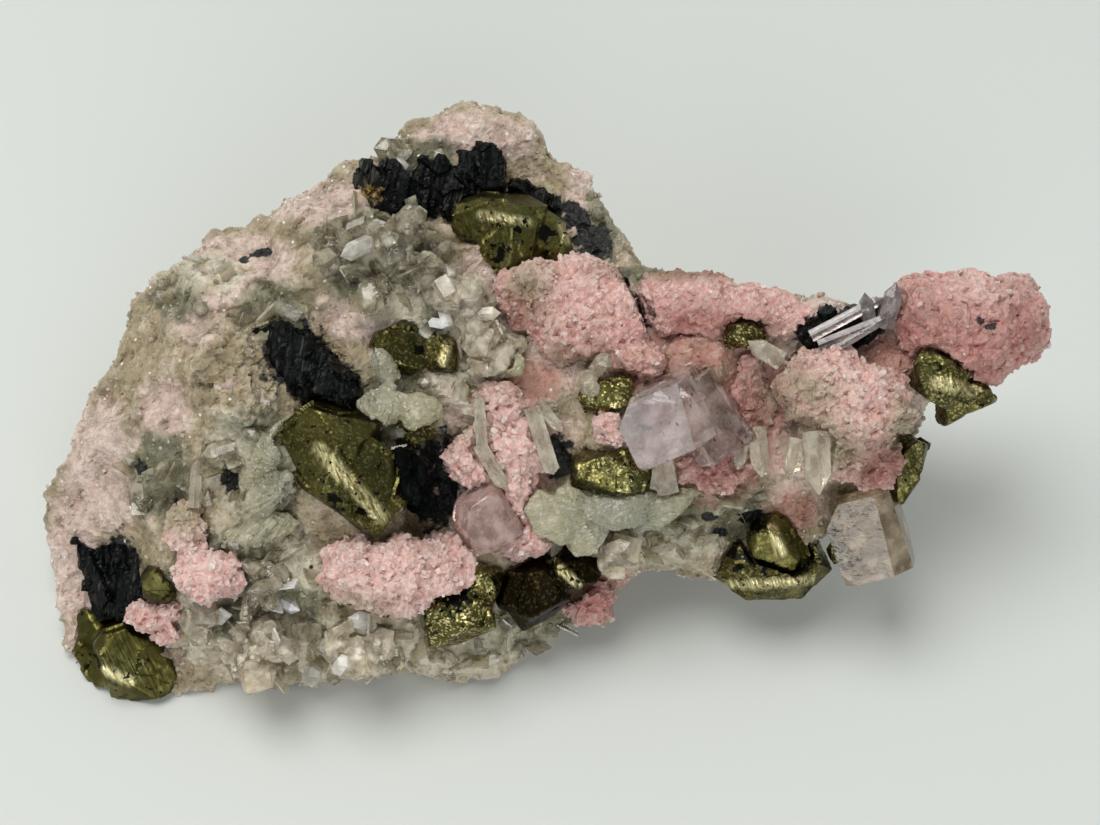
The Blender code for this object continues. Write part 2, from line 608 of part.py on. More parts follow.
# Quartz: points by (across, up, lift), radius, length and turn
quartz = [
    fuse("quartz_needle", [
        quartz_point(seat(-1.6, 0.4, 2.6), 0.85, 6.2, (84, 0, 18), tip=0.5),
        quartz_point(seat(-1.0, 0.8, 1.8), 0.6, 3.6, (70, 0, 40))], QUARTZ),
    fuse("quartz_pale_prism", [
        quartz_point(seat(-5.9, -3.6, 3.0), 0.6, 5.4, (-86, 0, 4)),
        quartz_point(seat(-6.2, -2.8, 2.8), 0.75, 4.8, (86, 0, 30))], QUARTZ),
    fuse("quartz_twin_points", [
        quartz_point(seat(18.2, -1.4, 3.4), 1.0, 4.6, (78, 0, 6)),
        quartz_point(seat(17.2, -2.0, 2.8), 0.7, 3.4, (74, 0, -12))], QUARTZ),
    fuse("quartz_hanging_point", [
        quartz_point(seat(23.2, -1.8, 4.2), 1.4, 5.6, (80, 0, 2)),
        quartz_point(seat(21.8, -2.4, 3.6), 0.9, 3.8, (80, 0, -14))], QUARTZ),
    fuse("quartz_beside_bud", [
        quartz_point(seat(10.4, -7.0, 2.6), 1.1, 4.8, (76, 0, 190)),
        quartz_point(seat(9.4, -6.6, 2.4), 0.8, 3.6, (70, 0, 172))], QUARTZ),
    fuse("quartz_clear_point", [
        quartz_point(seat(20.2, 4.6, 3.4), 1.0, 3.6, (-70, 0, 60))], QUARTZ),
    fuse("quartz_arm_spray", [
        quartz_point(seat(22.9, 6.7, 3.0), 0.62, 7.2, (-84, 0, -62)),
        quartz_point(seat(23.6, 5.9, 2.8), 0.55, 6.6, (-82, 0, -68)),
        quartz_point(seat(24.4, 5.2, 2.6), 0.5, 5.6, (-80, 0, -58)),
        quartz_point(seat(29.4, 7.6, 2.6), 0.95, 4.2, (-66, 0, -12)),
        quartz_point(seat(28.2, 7.4, 2.4), 0.7, 3.6, (-62, 0, 14))], QUARTZ),
    fuse("quartz_shoulder", [
        quartz_point(seat(-16.4, 12.6, 0.8), 1.9, 6.0, (-42, 10, 20)),
        quartz_point(seat(-14.0, 12.8, 0.8), 2.1, 6.2, (-30, -6, -16)),
        quartz_point(seat(-12.0, 11.4, 0.8), 1.9, 5.4, (-20, 22, 0)),
        quartz_point(seat(-15.0, 10.8, 0.8), 1.9, 4.6, (24, -16, 0)),
        quartz_point(seat(-13.0, 14.6, 0.6), 1.6, 5.0, (-52, 8, -8))], QUARTZ),
    fuse("quartz_top_left", [
        quartz_point(seat(-19.6, 14.2, 0.2), 1.3, 4.4, (-36, 0, 24)),
        quartz_point(seat(-18.4, 13.4, 0.4), 1.5, 4.0, (-10, -24, 0))], QUARTZ),
    fuse("quartz_middle", [
        quartz_point(seat(-9.6, 9.6, 0.8), 1.9, 5.0, (-24, 14, 0)),
        quartz_point(seat(-7.8, 8.8, 1.0), 1.9, 4.8, (-34, 4, -20)),
        quartz_point(seat(-6.2, 7.4, 1.0), 1.9, 4.2, (6, -8, 0)),
        quartz_point(seat(-4.4, 6.0, 1.0), 1.7, 4.6, (30, -18, 0))], QUARTZ),
    fuse("quartz_below_calcite", [
        quartz_point(seat(5.4, -11.6, 0.6), 1.3, 4.2, (44, 14, 0)),
        quartz_point(seat(7.8, -11.4, 0.4), 1.2, 4.0, (36, 40, 0)),
        quartz_point(seat(10.2, -10.4, 0.4), 1.1, 3.6, (30, 50, 0))], QUARTZ),
    fuse("quartz_lower_shelf", [
        quartz_point(seat(-27.2, -19.8, 0.4), 1.5, 5.0, (44, -12, 0)),
        quartz_point(seat(-25.2, -19.2, 0.2), 1.4, 4.8, (30, 12, 0)),
        quartz_point(seat(-26.2, -20.6, 0.4), 1.4, 5.0, (58, 0, 10))], QUARTZ),
    fuse("quartz_shelf_middle", [
        quartz_point(seat(-18.8, -19.8, 0.6), 1.5, 4.6, (46, 8, 0)),
        quartz_point(seat(-17.0, -20.2, 0.6), 1.5, 4.6, (58, -8, 0)),
        quartz_point(seat(-15.4, -19.6, 0.6), 1.5, 4.4, (34, 14, 0))], QUARTZ),
    fuse("quartz_left_hollow", [
        quartz_point(seat(-27.0, -13.2, 0.2), 1.3, 4.8, (50, 0, 60)),
        quartz_point(seat(-25.2, -14.6, 0.2), 1.3, 4.4, (40, 12, 0)),
        quartz_point(seat(-26.6, -15.4, 0.2), 1.2, 4.2, (56, -10, 0))], QUARTZ),
    fuse("quartz_slim_clear", [
        quartz_point(seat(-31.5, -8.4, 1.6), 0.6, 4.4, (-84, 0, -4))], QUARTZ),
    fuse("quartz_above_knob", [
        quartz_point(seat(3.2, 2.8, 1.6), 1.1, 3.4, (20, 14, 0)),
        quartz_point(seat(4.2, 3.6, 1.2), 0.9, 3.2, (-30, 20, 0))], QUARTZ),
    fuse("quartz_glassy_left", [
        quartz_point(seat(-32.6, -18.6, 0.8), 1.3, 4.6, (40, 10, 30)),
        quartz_point(seat(-31.6, -17.4, 0.6), 1.2, 4.2, (20, 30, 0))], QUARTZ),
]

# Calcite, in lenses and fans
calcite = [
    fuse("calcite_lens", [
        lens(seat(0.6, -9.2, 3.0), (6.6, 5.4, 2.6), (-18, 12, -24)),
        lens(seat(2.8, -10.4, 2.6), (6.0, 5.0, 2.4), (10, -20, -46)),
        lens(seat(2.2, -7.6, 2.2), (4.6, 4.2, 2.0), (24, 18, 10)),
        lens(seat(6.2, -8.0, 2.4), (7.4, 5.6, 2.6), (-16, 10, 14)),
        lens(seat(10.0, -8.6, 2.4), (7.4, 3.2, 2.2), (8, -12, 36))], CALCITE),
    fuse("calcite_ivory", [
        lens(seat(-4.4, 4.8, 2.0), (5.8, 3.6, 2.2), (8, -14, -30)),
        lens(seat(-3.2, 5.6, 1.8), (3.6, 3.0, 2.0), (-12, 10, 20))], CALCITE),
    fuse("calcite_green_lens", [
        lens(seat(-14.6, 0.6, 2.6), (5.4, 4.2, 2.4), (12, -14, 30)),
        lens(seat(-11.6, 0.2, 3.0), (5.2, 3.2, 2.2), (-10, 12, -4)),
        quartz_point(seat(-13.8, 2.8, 2.0), 1.1, 4.4, (-50, 0, 26))], CALCITE),
    fuse("calcite_fan", [
        lens(seat(-24.6, -3.6, 1.8), (3.0, 8.6, 3.0), (10, 24, -30)),
        lens(seat(-24.0, -6.8, 2.0), (3.0, 9.0, 3.2), (6, 10, -52)),
        lens(seat(-25.0, -10.2, 1.8), (2.8, 8.4, 3.0), (-12, 10, -78))], CALCITE),
    fuse("calcite_left_dome", [
        lens(seat(-28.6, 4.6, 0.4), (8.0, 5.2, 4.2), (10, 0, 24)),
        lens(seat(-26.6, 1.4, 0.4), (6.8, 7.0, 4.0), (-8, 12, -20))], CALCITE),
]

# Fluorite and the clear crystals
fluorite = [
    fuse("fluorite_block", [
        cut_block(seat(10.2, -0.4, 3.0), (7.2, 6.0, 6.2), (10, -14, 24), 305,
                  corner=0.96, sharp=1.08),
        cut_block(seat(13.6, -0.4, 1.6), (5.2, 7.2, 5.8), (8, 20, 34), 308,
                  corner=0.98, sharp=1.1)], FLUORITE),
    fuse("fluorite_lilac", [
        cut_block(seat(-5.8, -9.4, 2.6), (4.8, 4.8, 4.2), (20, 14, 34), 312,
                  corner=0.72, sharp=0.86)], FLUORITE),
    fuse("clear_crystal", [
        cut_block(seat(28.8, -10.8, 3.4), (6.2, 7.6, 5.8), (8, -16, 16), 323,
                  corner=0.84, sharp=1.0)], FLUORITE),
]

# Whoever comes first keeps its form; each later piece is trimmed by all before it
order = [rock] + brass + fluorite + quartz + calcite + black + pink
for number, piece in enumerate(order):
    for earlier in order[:number]:
        if near(piece, earlier):
            for cutter in shells[earlier.name]:
                trim(piece, cutter)

for piece in order[1:]:
    merge_flats(piece)

# ---------------------------------------------------------------- the real lean and size

lean = Matrix.Rotation(FACE_LEAN, 4, 'X')
to_world = Matrix.Scale(MM, 4) @ Matrix.Translation(FACE_MIDDLE) @ lean
for cutter in [one for kept in shells.values() for one in kept]:
    remove(cutter)
for piece in order:
    piece.data.transform(to_world)
    bm = bmesh.new()
    bm.from_mesh(piece.data)
    if min(vertex.co.z for vertex in bm.verts) < 0.0:
        geometry = bm.verts[:] + bm.edges[:] + bm.faces[:]
        cut = bmesh.ops.bisect_plane(bm, geom=geometry, dist=1e-7, plane_co=(0.0, 0.0, 0.0),
                                     plane_no=(0.0, 0.0, -1.0), clear_outer=True)
        edges = [item for item in cut["geom_cut"] if isinstance(item, bmesh.types.BMEdge)]
        bmesh.ops.edgeloop_fill(bm, edges=edges)
    bmesh.ops.triangulate(bm, faces=bm.faces)
    bm.to_mesh(piece.data)
    bm.free()
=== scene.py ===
import json
import math
import bpy
import numpy as np
from mathutils import Matrix, Vector

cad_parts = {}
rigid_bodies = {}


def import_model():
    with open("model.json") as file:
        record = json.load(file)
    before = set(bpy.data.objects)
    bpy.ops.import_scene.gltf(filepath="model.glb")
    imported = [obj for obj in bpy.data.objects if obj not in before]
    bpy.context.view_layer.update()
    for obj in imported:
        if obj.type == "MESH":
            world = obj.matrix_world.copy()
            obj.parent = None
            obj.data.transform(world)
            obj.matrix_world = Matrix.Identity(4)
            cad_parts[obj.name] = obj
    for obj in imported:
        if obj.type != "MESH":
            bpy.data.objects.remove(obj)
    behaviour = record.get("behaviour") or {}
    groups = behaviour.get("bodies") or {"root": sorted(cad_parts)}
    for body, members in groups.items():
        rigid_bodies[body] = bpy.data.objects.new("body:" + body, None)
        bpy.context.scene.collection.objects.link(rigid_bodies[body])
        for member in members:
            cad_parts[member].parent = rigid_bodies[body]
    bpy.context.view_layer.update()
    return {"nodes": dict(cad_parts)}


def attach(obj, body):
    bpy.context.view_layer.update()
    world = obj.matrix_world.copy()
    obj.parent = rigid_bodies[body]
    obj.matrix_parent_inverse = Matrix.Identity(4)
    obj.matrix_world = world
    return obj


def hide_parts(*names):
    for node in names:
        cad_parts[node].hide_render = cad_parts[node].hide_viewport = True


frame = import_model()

# The rock lies on its underside and its crystal face leans back. Most places below are given on that
# face in millimetres: across to the right, up along the face, and out of it.
mm = 0.001
faceLean = math.radians(35)
faceMiddle = Vector((19, -4.5, 19)) * mm
faceUp = Vector((0, math.cos(faceLean), math.sin(faceLean)))
faceOut = Vector((0, -math.sin(faceLean), math.cos(faceLean)))


def faceDirection(across, up, out):
    return (Vector((across, 0, 0)) + faceUp * up + faceOut * out).normalized()


def onFace(points):
    # the same points as across, up and out, in millimetres
    loose = (points - np.array(faceMiddle)) / mm
    return loose[:, 0], loose @ np.array(faceUp), loose @ np.array(faceOut)


# ---- small tools for meshes

def deselectAll():
    if bpy.context.object and bpy.context.object.mode != "OBJECT":
        bpy.ops.object.mode_set(mode="OBJECT")
    bpy.ops.object.select_all(action="DESELECT")


def makeActive(piece):
    deselectAll()
    piece.select_set(True)
    bpy.context.view_layer.objects.active = piece


def copyNode(nodeName, pieceName):
    # a copy of a CAD node's mesh as a new piece, with its doubles merged
    piece = bpy.data.objects.new(pieceName, frame["nodes"][nodeName].data.copy())
    piece.data.name = pieceName
    piece.data.materials.clear()
    bpy.context.scene.collection.objects.link(piece)
    makeActive(piece)
    bpy.ops.object.mode_set(mode="EDIT")
    bpy.ops.mesh.select_all(action="SELECT")
    bpy.ops.mesh.remove_doubles(threshold=0.002 * mm)
    bpy.ops.object.mode_set(mode="OBJECT")
    return piece


def addModifier(piece, kind, **values):
    makeActive(piece)
    modifier = piece.modifiers.new(kind.lower(), kind)
    for name, value in values.items():
        setattr(modifier, name, value)
    bpy.ops.object.modifier_apply(modifier=modifier.name)


def remesh(piece, voxel, smoothTimes=0):
    addModifier(piece, "REMESH", mode="VOXEL", voxel_size=voxel * mm, use_smooth_shade=False)
    if smoothTimes:
        addModifier(piece, "SMOOTH", factor=0.5, iterations=smoothTimes)


def readPoints(piece):
    points = np.empty(len(piece.data.vertices) * 3)
    piece.data.vertices.foreach_get("co", points)
    return points.reshape(-1, 3)


def readNormals(piece):
    normals = np.empty(len(piece.data.vertices) * 3)
    piece.data.vertex_normals.foreach_get("vector", normals)
    return normals.reshape(-1, 3)


def writePoints(piece, points):
    piece.data.vertices.foreach_set("co", points.ravel())
    piece.data.update()


def keepAboveTable(piece):
    points = readPoints(piece)
    points[:, 2] = np.maximum(points[:, 2], 0)
    writePoints(piece, points)


def countTriangles(piece):
    return sum(len(face.vertices) - 2 for face in piece.data.polygons)


def storeMask(piece, name, values):
    mask = piece.data.attributes.get(name) or piece.data.attributes.new(name, "FLOAT", "POINT")
    mask.data.foreach_set("value", np.clip(values, 0, 1).astype(np.float32))


def storeEven(piece, name, value):
    storeMask(piece, name, np.full(len(piece.data.vertices), value))


def finishPiece(piece, material, nodeNames=()):
    keepAboveTable(piece)
    piece.data.materials.clear()
    piece.data.materials.append(material)
    piece.data.polygons.foreach_set("material_index", np.zeros(len(piece.data.polygons), np.int32))
    piece.data.update()
    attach(piece, "root")
    if nodeNames:
        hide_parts(*nodeNames)


# ---- small tools for node trees, used by materials and by geometry nodes

def addNode(tree, kind, inputs=None, **settings):
    node = tree.nodes.new(kind)
    for name, value in settings.items():
        setattr(node, name, value)
    for name, value in (inputs or {}).items():
        if isinstance(value, bpy.types.NodeSocket):
            tree.links.new(value, node.inputs[name])
        else:
            node.inputs[name].default_value = value
    return node


def maths(tree, operation, *values):
    return addNode(tree, "ShaderNodeMath", dict(enumerate(values)), operation=operation).outputs[0]


def plus(tree, first, second):
    return maths(tree, "ADD", first, second)


def minus(tree, first, second):
    return maths(tree, "SUBTRACT", first, second)


def times(tree, first, second):
    return maths(tree, "MULTIPLY", first, second)


def vectorMaths(tree, operation, first, second):
    inputs = {0: first, "Scale" if operation == "SCALE" else 1: second}
    return addNode(tree, "ShaderNodeVectorMath", inputs, operation=operation).outputs[0]


def dotProduct(tree, first, second):
    node = addNode(tree, "ShaderNodeVectorMath", {0: first, 1: second}, operation="DOT_PRODUCT")
    return node.outputs["Value"]


def firstPart(tree, value):
    # the red of a colour or the x of a vector
    return addNode(tree, "ShaderNodeSeparateXYZ", {0: value}).outputs[0]


def noise(tree, where, size, detail=3.0, roughness=0.55):
    # size is the width of one bump in millimetres
    inputs = {"Vector": where, "Scale": 1 / (size * mm), "Detail": detail, "Roughness": roughness}
    return addNode(tree, "ShaderNodeTexNoise", inputs).outputs[0]


def cells(tree, where, size, metric="EUCLIDEAN"):
    # size is the width of one cell in millimetres; the node's outputs give each cell's own values
    inputs = {"Vector": where, "Scale": 1 / (size * mm)}
    return addNode(tree, "ShaderNodeTexVoronoi", inputs, distance=metric).outputs


def facets(tree, place, size):
    # flat faces side by side, each leaning its own way
    cell = cells(tree, place, size)
    lean = vectorMaths(tree, "SUBTRACT", cell["Color"], (0.5, 0.5, 0.5))
    offset = vectorMaths(tree, "SUBTRACT", place, cell["Position"])
    return dotProduct(tree, lean, vectorMaths(tree, "SCALE", offset, 1 / (size * mm)))


def specks(tree, place, size, reach, share):
    # 1 on small round spots, in this share of the pattern's cells
    cell = cells(tree, place, size)
    near = stretch(tree, cell["Distance"], reach, reach * 0.6)
    return times(tree, near, maths(tree, "LESS_THAN", firstPart(tree, cell["Color"]), share))


def along(tree, place, turn, scale):
    # turns a pattern and draws it out, in a material or on a surface
    inputs = {"Vector": place, "Rotation": turn}
    turned = addNode(tree, "ShaderNodeVectorRotate", inputs, rotation_type="EULER_XYZ")
    return vectorMaths(tree, "MULTIPLY", turned.outputs[0], scale)


def stretch(tree, value, low, high, toLow=0.0, toHigh=1.0):
    inputs = {"Value": value, "From Min": low, "From Max": high, "To Min": toLow, "To Max": toHigh}
    return addNode(tree, "ShaderNodeMapRange", inputs).outputs[0]


def opaque(colour):
    return (*colour, 1) if isinstance(colour, tuple) else colour


def mixColour(tree, share, first, second, blend="MIX"):
    # the node has a set of sockets for each kind of value, and its colours are the seventh and eighth
    inputs = {0: share, 6: opaque(first), 7: opaque(second)}
    return addNode(tree, "ShaderNodeMix", inputs, data_type="RGBA", blend_type=blend).outputs[2]


def ramp(tree, value, stops):
    node = addNode(tree, "ShaderNodeValToRGB", {"Fac": value})
    while len(node.color_ramp.elements) < len(stops):
        node.color_ramp.elements.new(0.5)
    for element, (place, colour) in zip(node.color_ramp.elements, stops):
        element.position = place
        element.color = opaque(colour)
    return node.outputs[0]


# ---- geometry nodes: noise on a surface, and grains grown on it

def newGeometryTree(name):
    tree = bpy.data.node_groups.new(name, "GeometryNodeTree")
    tree.interface.new_socket("Geometry", in_out="INPUT", socket_type="NodeSocketGeometry")
    tree.interface.new_socket("Geometry", in_out="OUTPUT", socket_type="NodeSocketGeometry")
    return tree, tree.nodes.new("NodeGroupInput"), tree.nodes.new("NodeGroupOutput")


def applyTree(piece, tree):
    addModifier(piece, "NODES", node_group=tree)
    bpy.data.node_groups.remove(tree)


def readMask(tree, name):
    inputs = {"Name": name}
    return addNode(tree, "GeometryNodeInputNamedAttribute", inputs, data_type="FLOAT").outputs[0]


def storeInTree(tree, geometry, name, value, domain):
    inputs = {"Geometry": geometry, "Name": name, "Value": value}
    settings = {"data_type": "FLOAT", "domain": domain}
    return addNode(tree, "GeometryNodeStoreNamedAttribute", inputs, **settings).outputs[0]


def displace(piece, height):
    # height(tree, place) gives the rise along the normal in metres
    tree, start, end = newGeometryTree("displace")
    place = addNode(tree, "GeometryNodeInputPosition").outputs[0]
    normal = addNode(tree, "GeometryNodeInputNormal").outputs[0]
    offset = vectorMaths(tree, "SCALE", normal, height(tree, place))
    moved = addNode(tree, "GeometryNodeSetPosition", {"Geometry": start.outputs[0], "Offset": offset})
    tree.links.new(moved.outputs[0], end.inputs[0])
    applyTree(piece, tree)


def noiseBump(tree, place, size):
    return minus(tree, noise(tree, place, size, 2.0), 0.5)


def cellBump(tree, place, size):
    return minus(tree, 0.45, cells(tree, place, size)["Distance"])


def cornerBump(tree, place, size):
    # the corners of small blocks, turned one way in some patches and another way in the rest
    turned = along(tree, place, (0.7, 0.5, 0.2), (1, 1, 1))
    blocks = minus(tree, 0.45, cells(tree, turned, size, "CHEBYCHEV")["Distance"])
    turned = along(tree, place, (0.2, 0.9, 1.1), (1, 1, 1))
    others = minus(tree, 0.6, cells(tree, turned, size * 1.1, "MANHATTAN")["Distance"])
    patch = stretch(tree, noise(tree, place, 1.5, 1.0), 0.45, 0.55)
    return addNode(tree, "ShaderNodeMix", {0: patch, 2: blocks, 3: others}, data_type="FLOAT").outputs[0]


def patchyStepBump(tree, place, size):
    # flat steps, in some patches only
    step = minus(tree, firstPart(tree, cells(tree, place, size)["Color"]), 0.5)
    return times(tree, step, stretch(tree, noise(tree, place, 3.0, 1.0), 0.48, 0.6))


bumpKinds = {
    "noise": noiseBump,
    "cells": cellBump,
    "facets": facets,
    "corners": cornerBump,
    "patchySteps": patchyStepBump,
}


def roughen(piece, layers):
    # each layer is how its bumps are made, their size and their height, in millimetres
    def height(tree, place):
        total = 0.0
        for kind, size, rise in layers:
            total = plus(tree, total, times(tree, bumpKinds[kind](tree, place, size), rise * mm))
        return total
    displace(piece, height)


def storeRelief(piece, name, spread, rise):
    # 1 on high spots, 0 in hollows and 0.5 where the surface is even
    tree, start, end = newGeometryTree("relief")
    place = addNode(tree, "GeometryNodeInputPosition").outputs[0]
    inputs = {"Value": place, "Iterations": spread}
    smooth = addNode(tree, "GeometryNodeBlurAttribute", inputs, data_type="FLOAT_VECTOR")
    above = vectorMaths(tree, "SUBTRACT", place, smooth.outputs[0])
    normal = addNode(tree, "GeometryNodeInputNormal").outputs[0]
    value = stretch(tree, dotProduct(tree, above, normal), -rise * mm, rise * mm)
    tree.links.new(storeInTree(tree, start.outputs[0], name, value, "POINT"), end.inputs[0])
    applyTree(piece, tree)


growValues = {
    "ownLean": math.radians(18),  # how far each shape leans its own way
    "ownTurn": math.radians(54),  # how far it is turned about its own axis
    "sides": (0.75, 1.25),  # the least and most that each of its sides is drawn out by
}


def randomValue(tree, seed, least, most):
    # a number or a vector of its own for each shape
    whole = isinstance(least, tuple)
    first = 0 if whole else 2
    inputs = {"Seed": seed, first: least, first + 1: most}
    kind = "FLOAT_VECTOR" if whole else "FLOAT"
    return addNode(tree, "FunctionNodeRandomValue", inputs, data_type=kind).outputs[0 if whole else 1]


def grow(piece, shapes, values):
    # scatters copies of the shapes over the piece's first surface and joins them to it as one mesh
    tree, start, end = newGeometryTree("grow")
    surface = start.outputs[0]
    seed = values["seed"]
    inputs = {0: readMask(tree, "grown"), 1: 0.5}
    bare = addNode(tree, "FunctionNodeCompare", inputs, data_type="FLOAT", operation="LESS_THAN")
    factor = readMask(tree, values["where"]) if "where" in values else 1.0
    spots = addNode(tree, "GeometryNodeDistributePointsOnFaces", {
        "Mesh": surface, "Selection": bare.outputs[0], "Distance Min": values["gap"] * mm,
        "Density Max": values["perSquare"] / mm ** 2, "Density Factor": factor, "Seed": seed,
    }, distribute_method="POISSON")
    # neighbours lean much the same way, as grown from one seed, and each a little its own way
    place = addNode(tree, "GeometryNodeInputPosition").outputs[0]
    shared = cells(tree, place, values.get("family", 1.6))["Color"]
    tilt = math.radians(values["tilt"])
    lean = vectorMaths(tree, "SUBTRACT", shared, (0.5, 0.5, 0.5))
    lean = vectorMaths(tree, "MULTIPLY", lean, (2 * tilt, 2 * tilt, 6))
    loose = (growValues["ownLean"], growValues["ownLean"], growValues["ownTurn"])
    own = randomValue(tree, seed + 1, tuple(-angle for angle in loose), loose)
    turn = addNode(tree, "FunctionNodeEulerToRotation", {0: vectorMaths(tree, "ADD", lean, own)})
    inputs = {0: spots.outputs["Rotation"], 1: turn.outputs[0]}
    turned = addNode(tree, "FunctionNodeRotateRotation", inputs, rotation_space="LOCAL")
    narrow, wide = growValues["sides"]
    size = randomValue(tree, seed + 2, *values["size"])
    sides = randomValue(tree, seed + 3, (narrow,) * 3, (wide,) * 3)
    scale = vectorMaths(tree, "SCALE", sides, size)
    group = addNode(tree, "GeometryNodeCollectionInfo", {
        "Collection": shapes, "Separate Children": True, "Reset Children": True})
    grains = addNode(tree, "GeometryNodeInstanceOnPoints", {
        "Points": spots.outputs[0], "Instance": group.outputs[0], "Pick Instance": True,
        "Rotation": turned.outputs[0], "Scale": scale})
    tone = randomValue(tree, seed + 4, 0.0, 1.0)
    toned = storeInTree(tree, grains.outputs[0], "tone", tone, "INSTANCE")
    marked = storeInTree(tree, toned, "grown", 1.0, "INSTANCE")
    solid = addNode(tree, "GeometryNodeRealizeInstances", {0: marked})
    both = addNode(tree, "GeometryNodeJoinGeometry")
    if not values.get("alone"):
        tree.links.new(surface, both.inputs[0])
    tree.links.new(solid.outputs[0], both.inputs[0])
    tree.links.new(both.outputs[0], end.inputs[0])
    applyTree(piece, tree)


def seeded(values, index):
    # the same values with random draws of their own for each piece of a row
    return dict(values, seed=values["seed"] + 10 * index)


# ---- the grain shapes, about one unit in size, each modelled once

sunkDepth = 0.25  # how deep the base of a point or a blade lies in the surface it grows on


def newShape(piece, collection):
    piece.data.name = piece.name
    piece.users_collection[0].objects.unlink(piece)
    collection.objects.link(piece)


def moveAll(piece, matrix):
    piece.data.transform(matrix)
    piece.data.update()


def rhombShape(collection, flatness, sink):
    # a cube turned onto its corner and pressed along that diagonal is a rhombohedron
    deselectAll()
    bpy.ops.mesh.primitive_cube_add(size=0.62)
    piece = bpy.context.object
    piece.name = "rhomb"
    bpy.ops.object.mode_set(mode="EDIT")
    bpy.ops.mesh.select_all(action="SELECT")
    middle = (0, 0, 0)
    bpy.ops.transform.rotate(value=math.radians(45), orient_axis="X", center_override=middle)
    cornerLean = math.atan(math.sqrt(0.5))  # brings the cube's diagonal upright
    bpy.ops.transform.rotate(value=cornerLean, orient_axis="Y", center_override=middle)
    bpy.ops.transform.resize(value=(1, 1, flatness), center_override=middle)
    bpy.ops.object.mode_set(mode="OBJECT")
    tipped = Matrix.Rotation(math.radians(38), 4, "X")
    moveAll(piece, tipped @ Matrix.Translation((0, 0, -sink)))
    newShape(piece, collection)


def pointShape(collection, radius, height, tip):
    # a six-sided prism whose top face is poked up into a point
    deselectAll()
    middle = (0, 0, height / 2 - sunkDepth)
    bpy.ops.mesh.primitive_cylinder_add(vertices=6, radius=radius, depth=height, location=middle)
    piece = bpy.context.object
    piece.name = "point"
    piece.data.transform(piece.matrix_world)
    piece.matrix_world = Matrix()
    for face in piece.data.polygons:
        face.select = face.normal.z > 0.9
    for edge in piece.data.edges:
        edge.select = False
    for vertex in piece.data.vertices:
        vertex.select = vertex.co.z > height - sunkDepth - 0.01
    bpy.ops.object.mode_set(mode="EDIT")
    bpy.ops.mesh.select_mode(type="FACE")
    bpy.ops.mesh.poke(offset=tip)
    bpy.ops.object.mode_set(mode="OBJECT")
    newShape(piece, collection)


def bladeShape(collection, width, thickness, height):
    # a flat plate whose top edge is drawn in
    deselectAll()
    bpy.ops.mesh.primitive_cube_add(size=1)
    piece = bpy.context.object
    piece.name = "blade"
    for vertex in piece.data.vertices:
        vertex.select = vertex.co.z > 0
    bpy.ops.object.mode_set(mode="EDIT")
    bpy.ops.mesh.select_mode(type="VERT")
    bpy.ops.transform.resize(value=(0.62, 0.3, 1), center_override=(0, 0, 0.5))
    bpy.ops.object.mode_set(mode="OBJECT")
    whole = Matrix.Diagonal((width, thickness, height, 1))
    moveAll(piece, whole @ Matrix.Translation((0, 0, sunkDepth)))
    newShape(piece, collection)


def newCollection(name):
    collection = bpy.data.collections.new(name)
    bpy.context.scene.collection.children.link(collection)
    return collection


print("grain shapes")
sugarShapes = newCollection("sugar shapes")
rhombShape(sugarShapes, 0.85, 0.12)
rhombShape(sugarShapes, 0.7, 0.08)
rhombShape(sugarShapes, 1.0, 0.16)
crustShapes = newCollection("crust shapes")
rhombShape(crustShapes, 0.9, 0.14)
rhombShape(crustShapes, 0.7, 0.1)
pointShape(crustShapes, 0.34, 0.45, 0.24)
quartzShapes = newCollection("quartz shapes")
pointShape(quartzShapes, 0.36, 0.5, 0.3)
pointShape(quartzShapes, 0.26, 0.7, 0.3)
bladeShape(quartzShapes, 1.1, 0.24, 0.7)
bladeShape(quartzShapes, 0.7, 0.22, 1.0)


# ---- finishes

def newMaterial(name):
    material = bpy.data.materials.new(name)
    material.use_nodes = True
    tree = material.node_tree
    shader = tree.nodes["Principled BSDF"]
    place = addNode(tree, "ShaderNodeTexCoord").outputs["Object"]
    return material, tree, shader, place


def setShader(shader, **values):
    for name, value in values.items():
        shader.inputs[name.replace("_", " ")].default_value = value


def setColour(tree, shader, colour, roughness):
    tree.links.new(colour, shader.inputs["Base Color"])
    tree.links.new(roughness, shader.inputs["Roughness"])


def addBump(tree, shader, height, depth):
    inputs = {"Height": height, "Distance": depth * mm}
    tree.links.new(addNode(tree, "ShaderNodeBump", inputs).outputs[0], shader.inputs["Normal"])


def maskInMaterial(tree, name):
    return addNode(tree, "ShaderNodeAttribute", attribute_name=name).outputs["Fac"]


def ragged(tree, place, name, size, amount):
    # a painted mask whose edge is broken up by noise, by this much up and down
    edge = stretch(tree, noise(tree, place, size, 4.0), 0.3, 0.7, -amount, amount)
    return plus(tree, maskInMaterial(tree, name), edge)


def cover(tree, colour, share, coat, most=1.0):
    # a coat over the colour so far; share is a value and where it gives no coat and the most of it
    value, none, full = share
    return mixColour(tree, stretch(tree, value, none, full, 0, most), colour, coat)


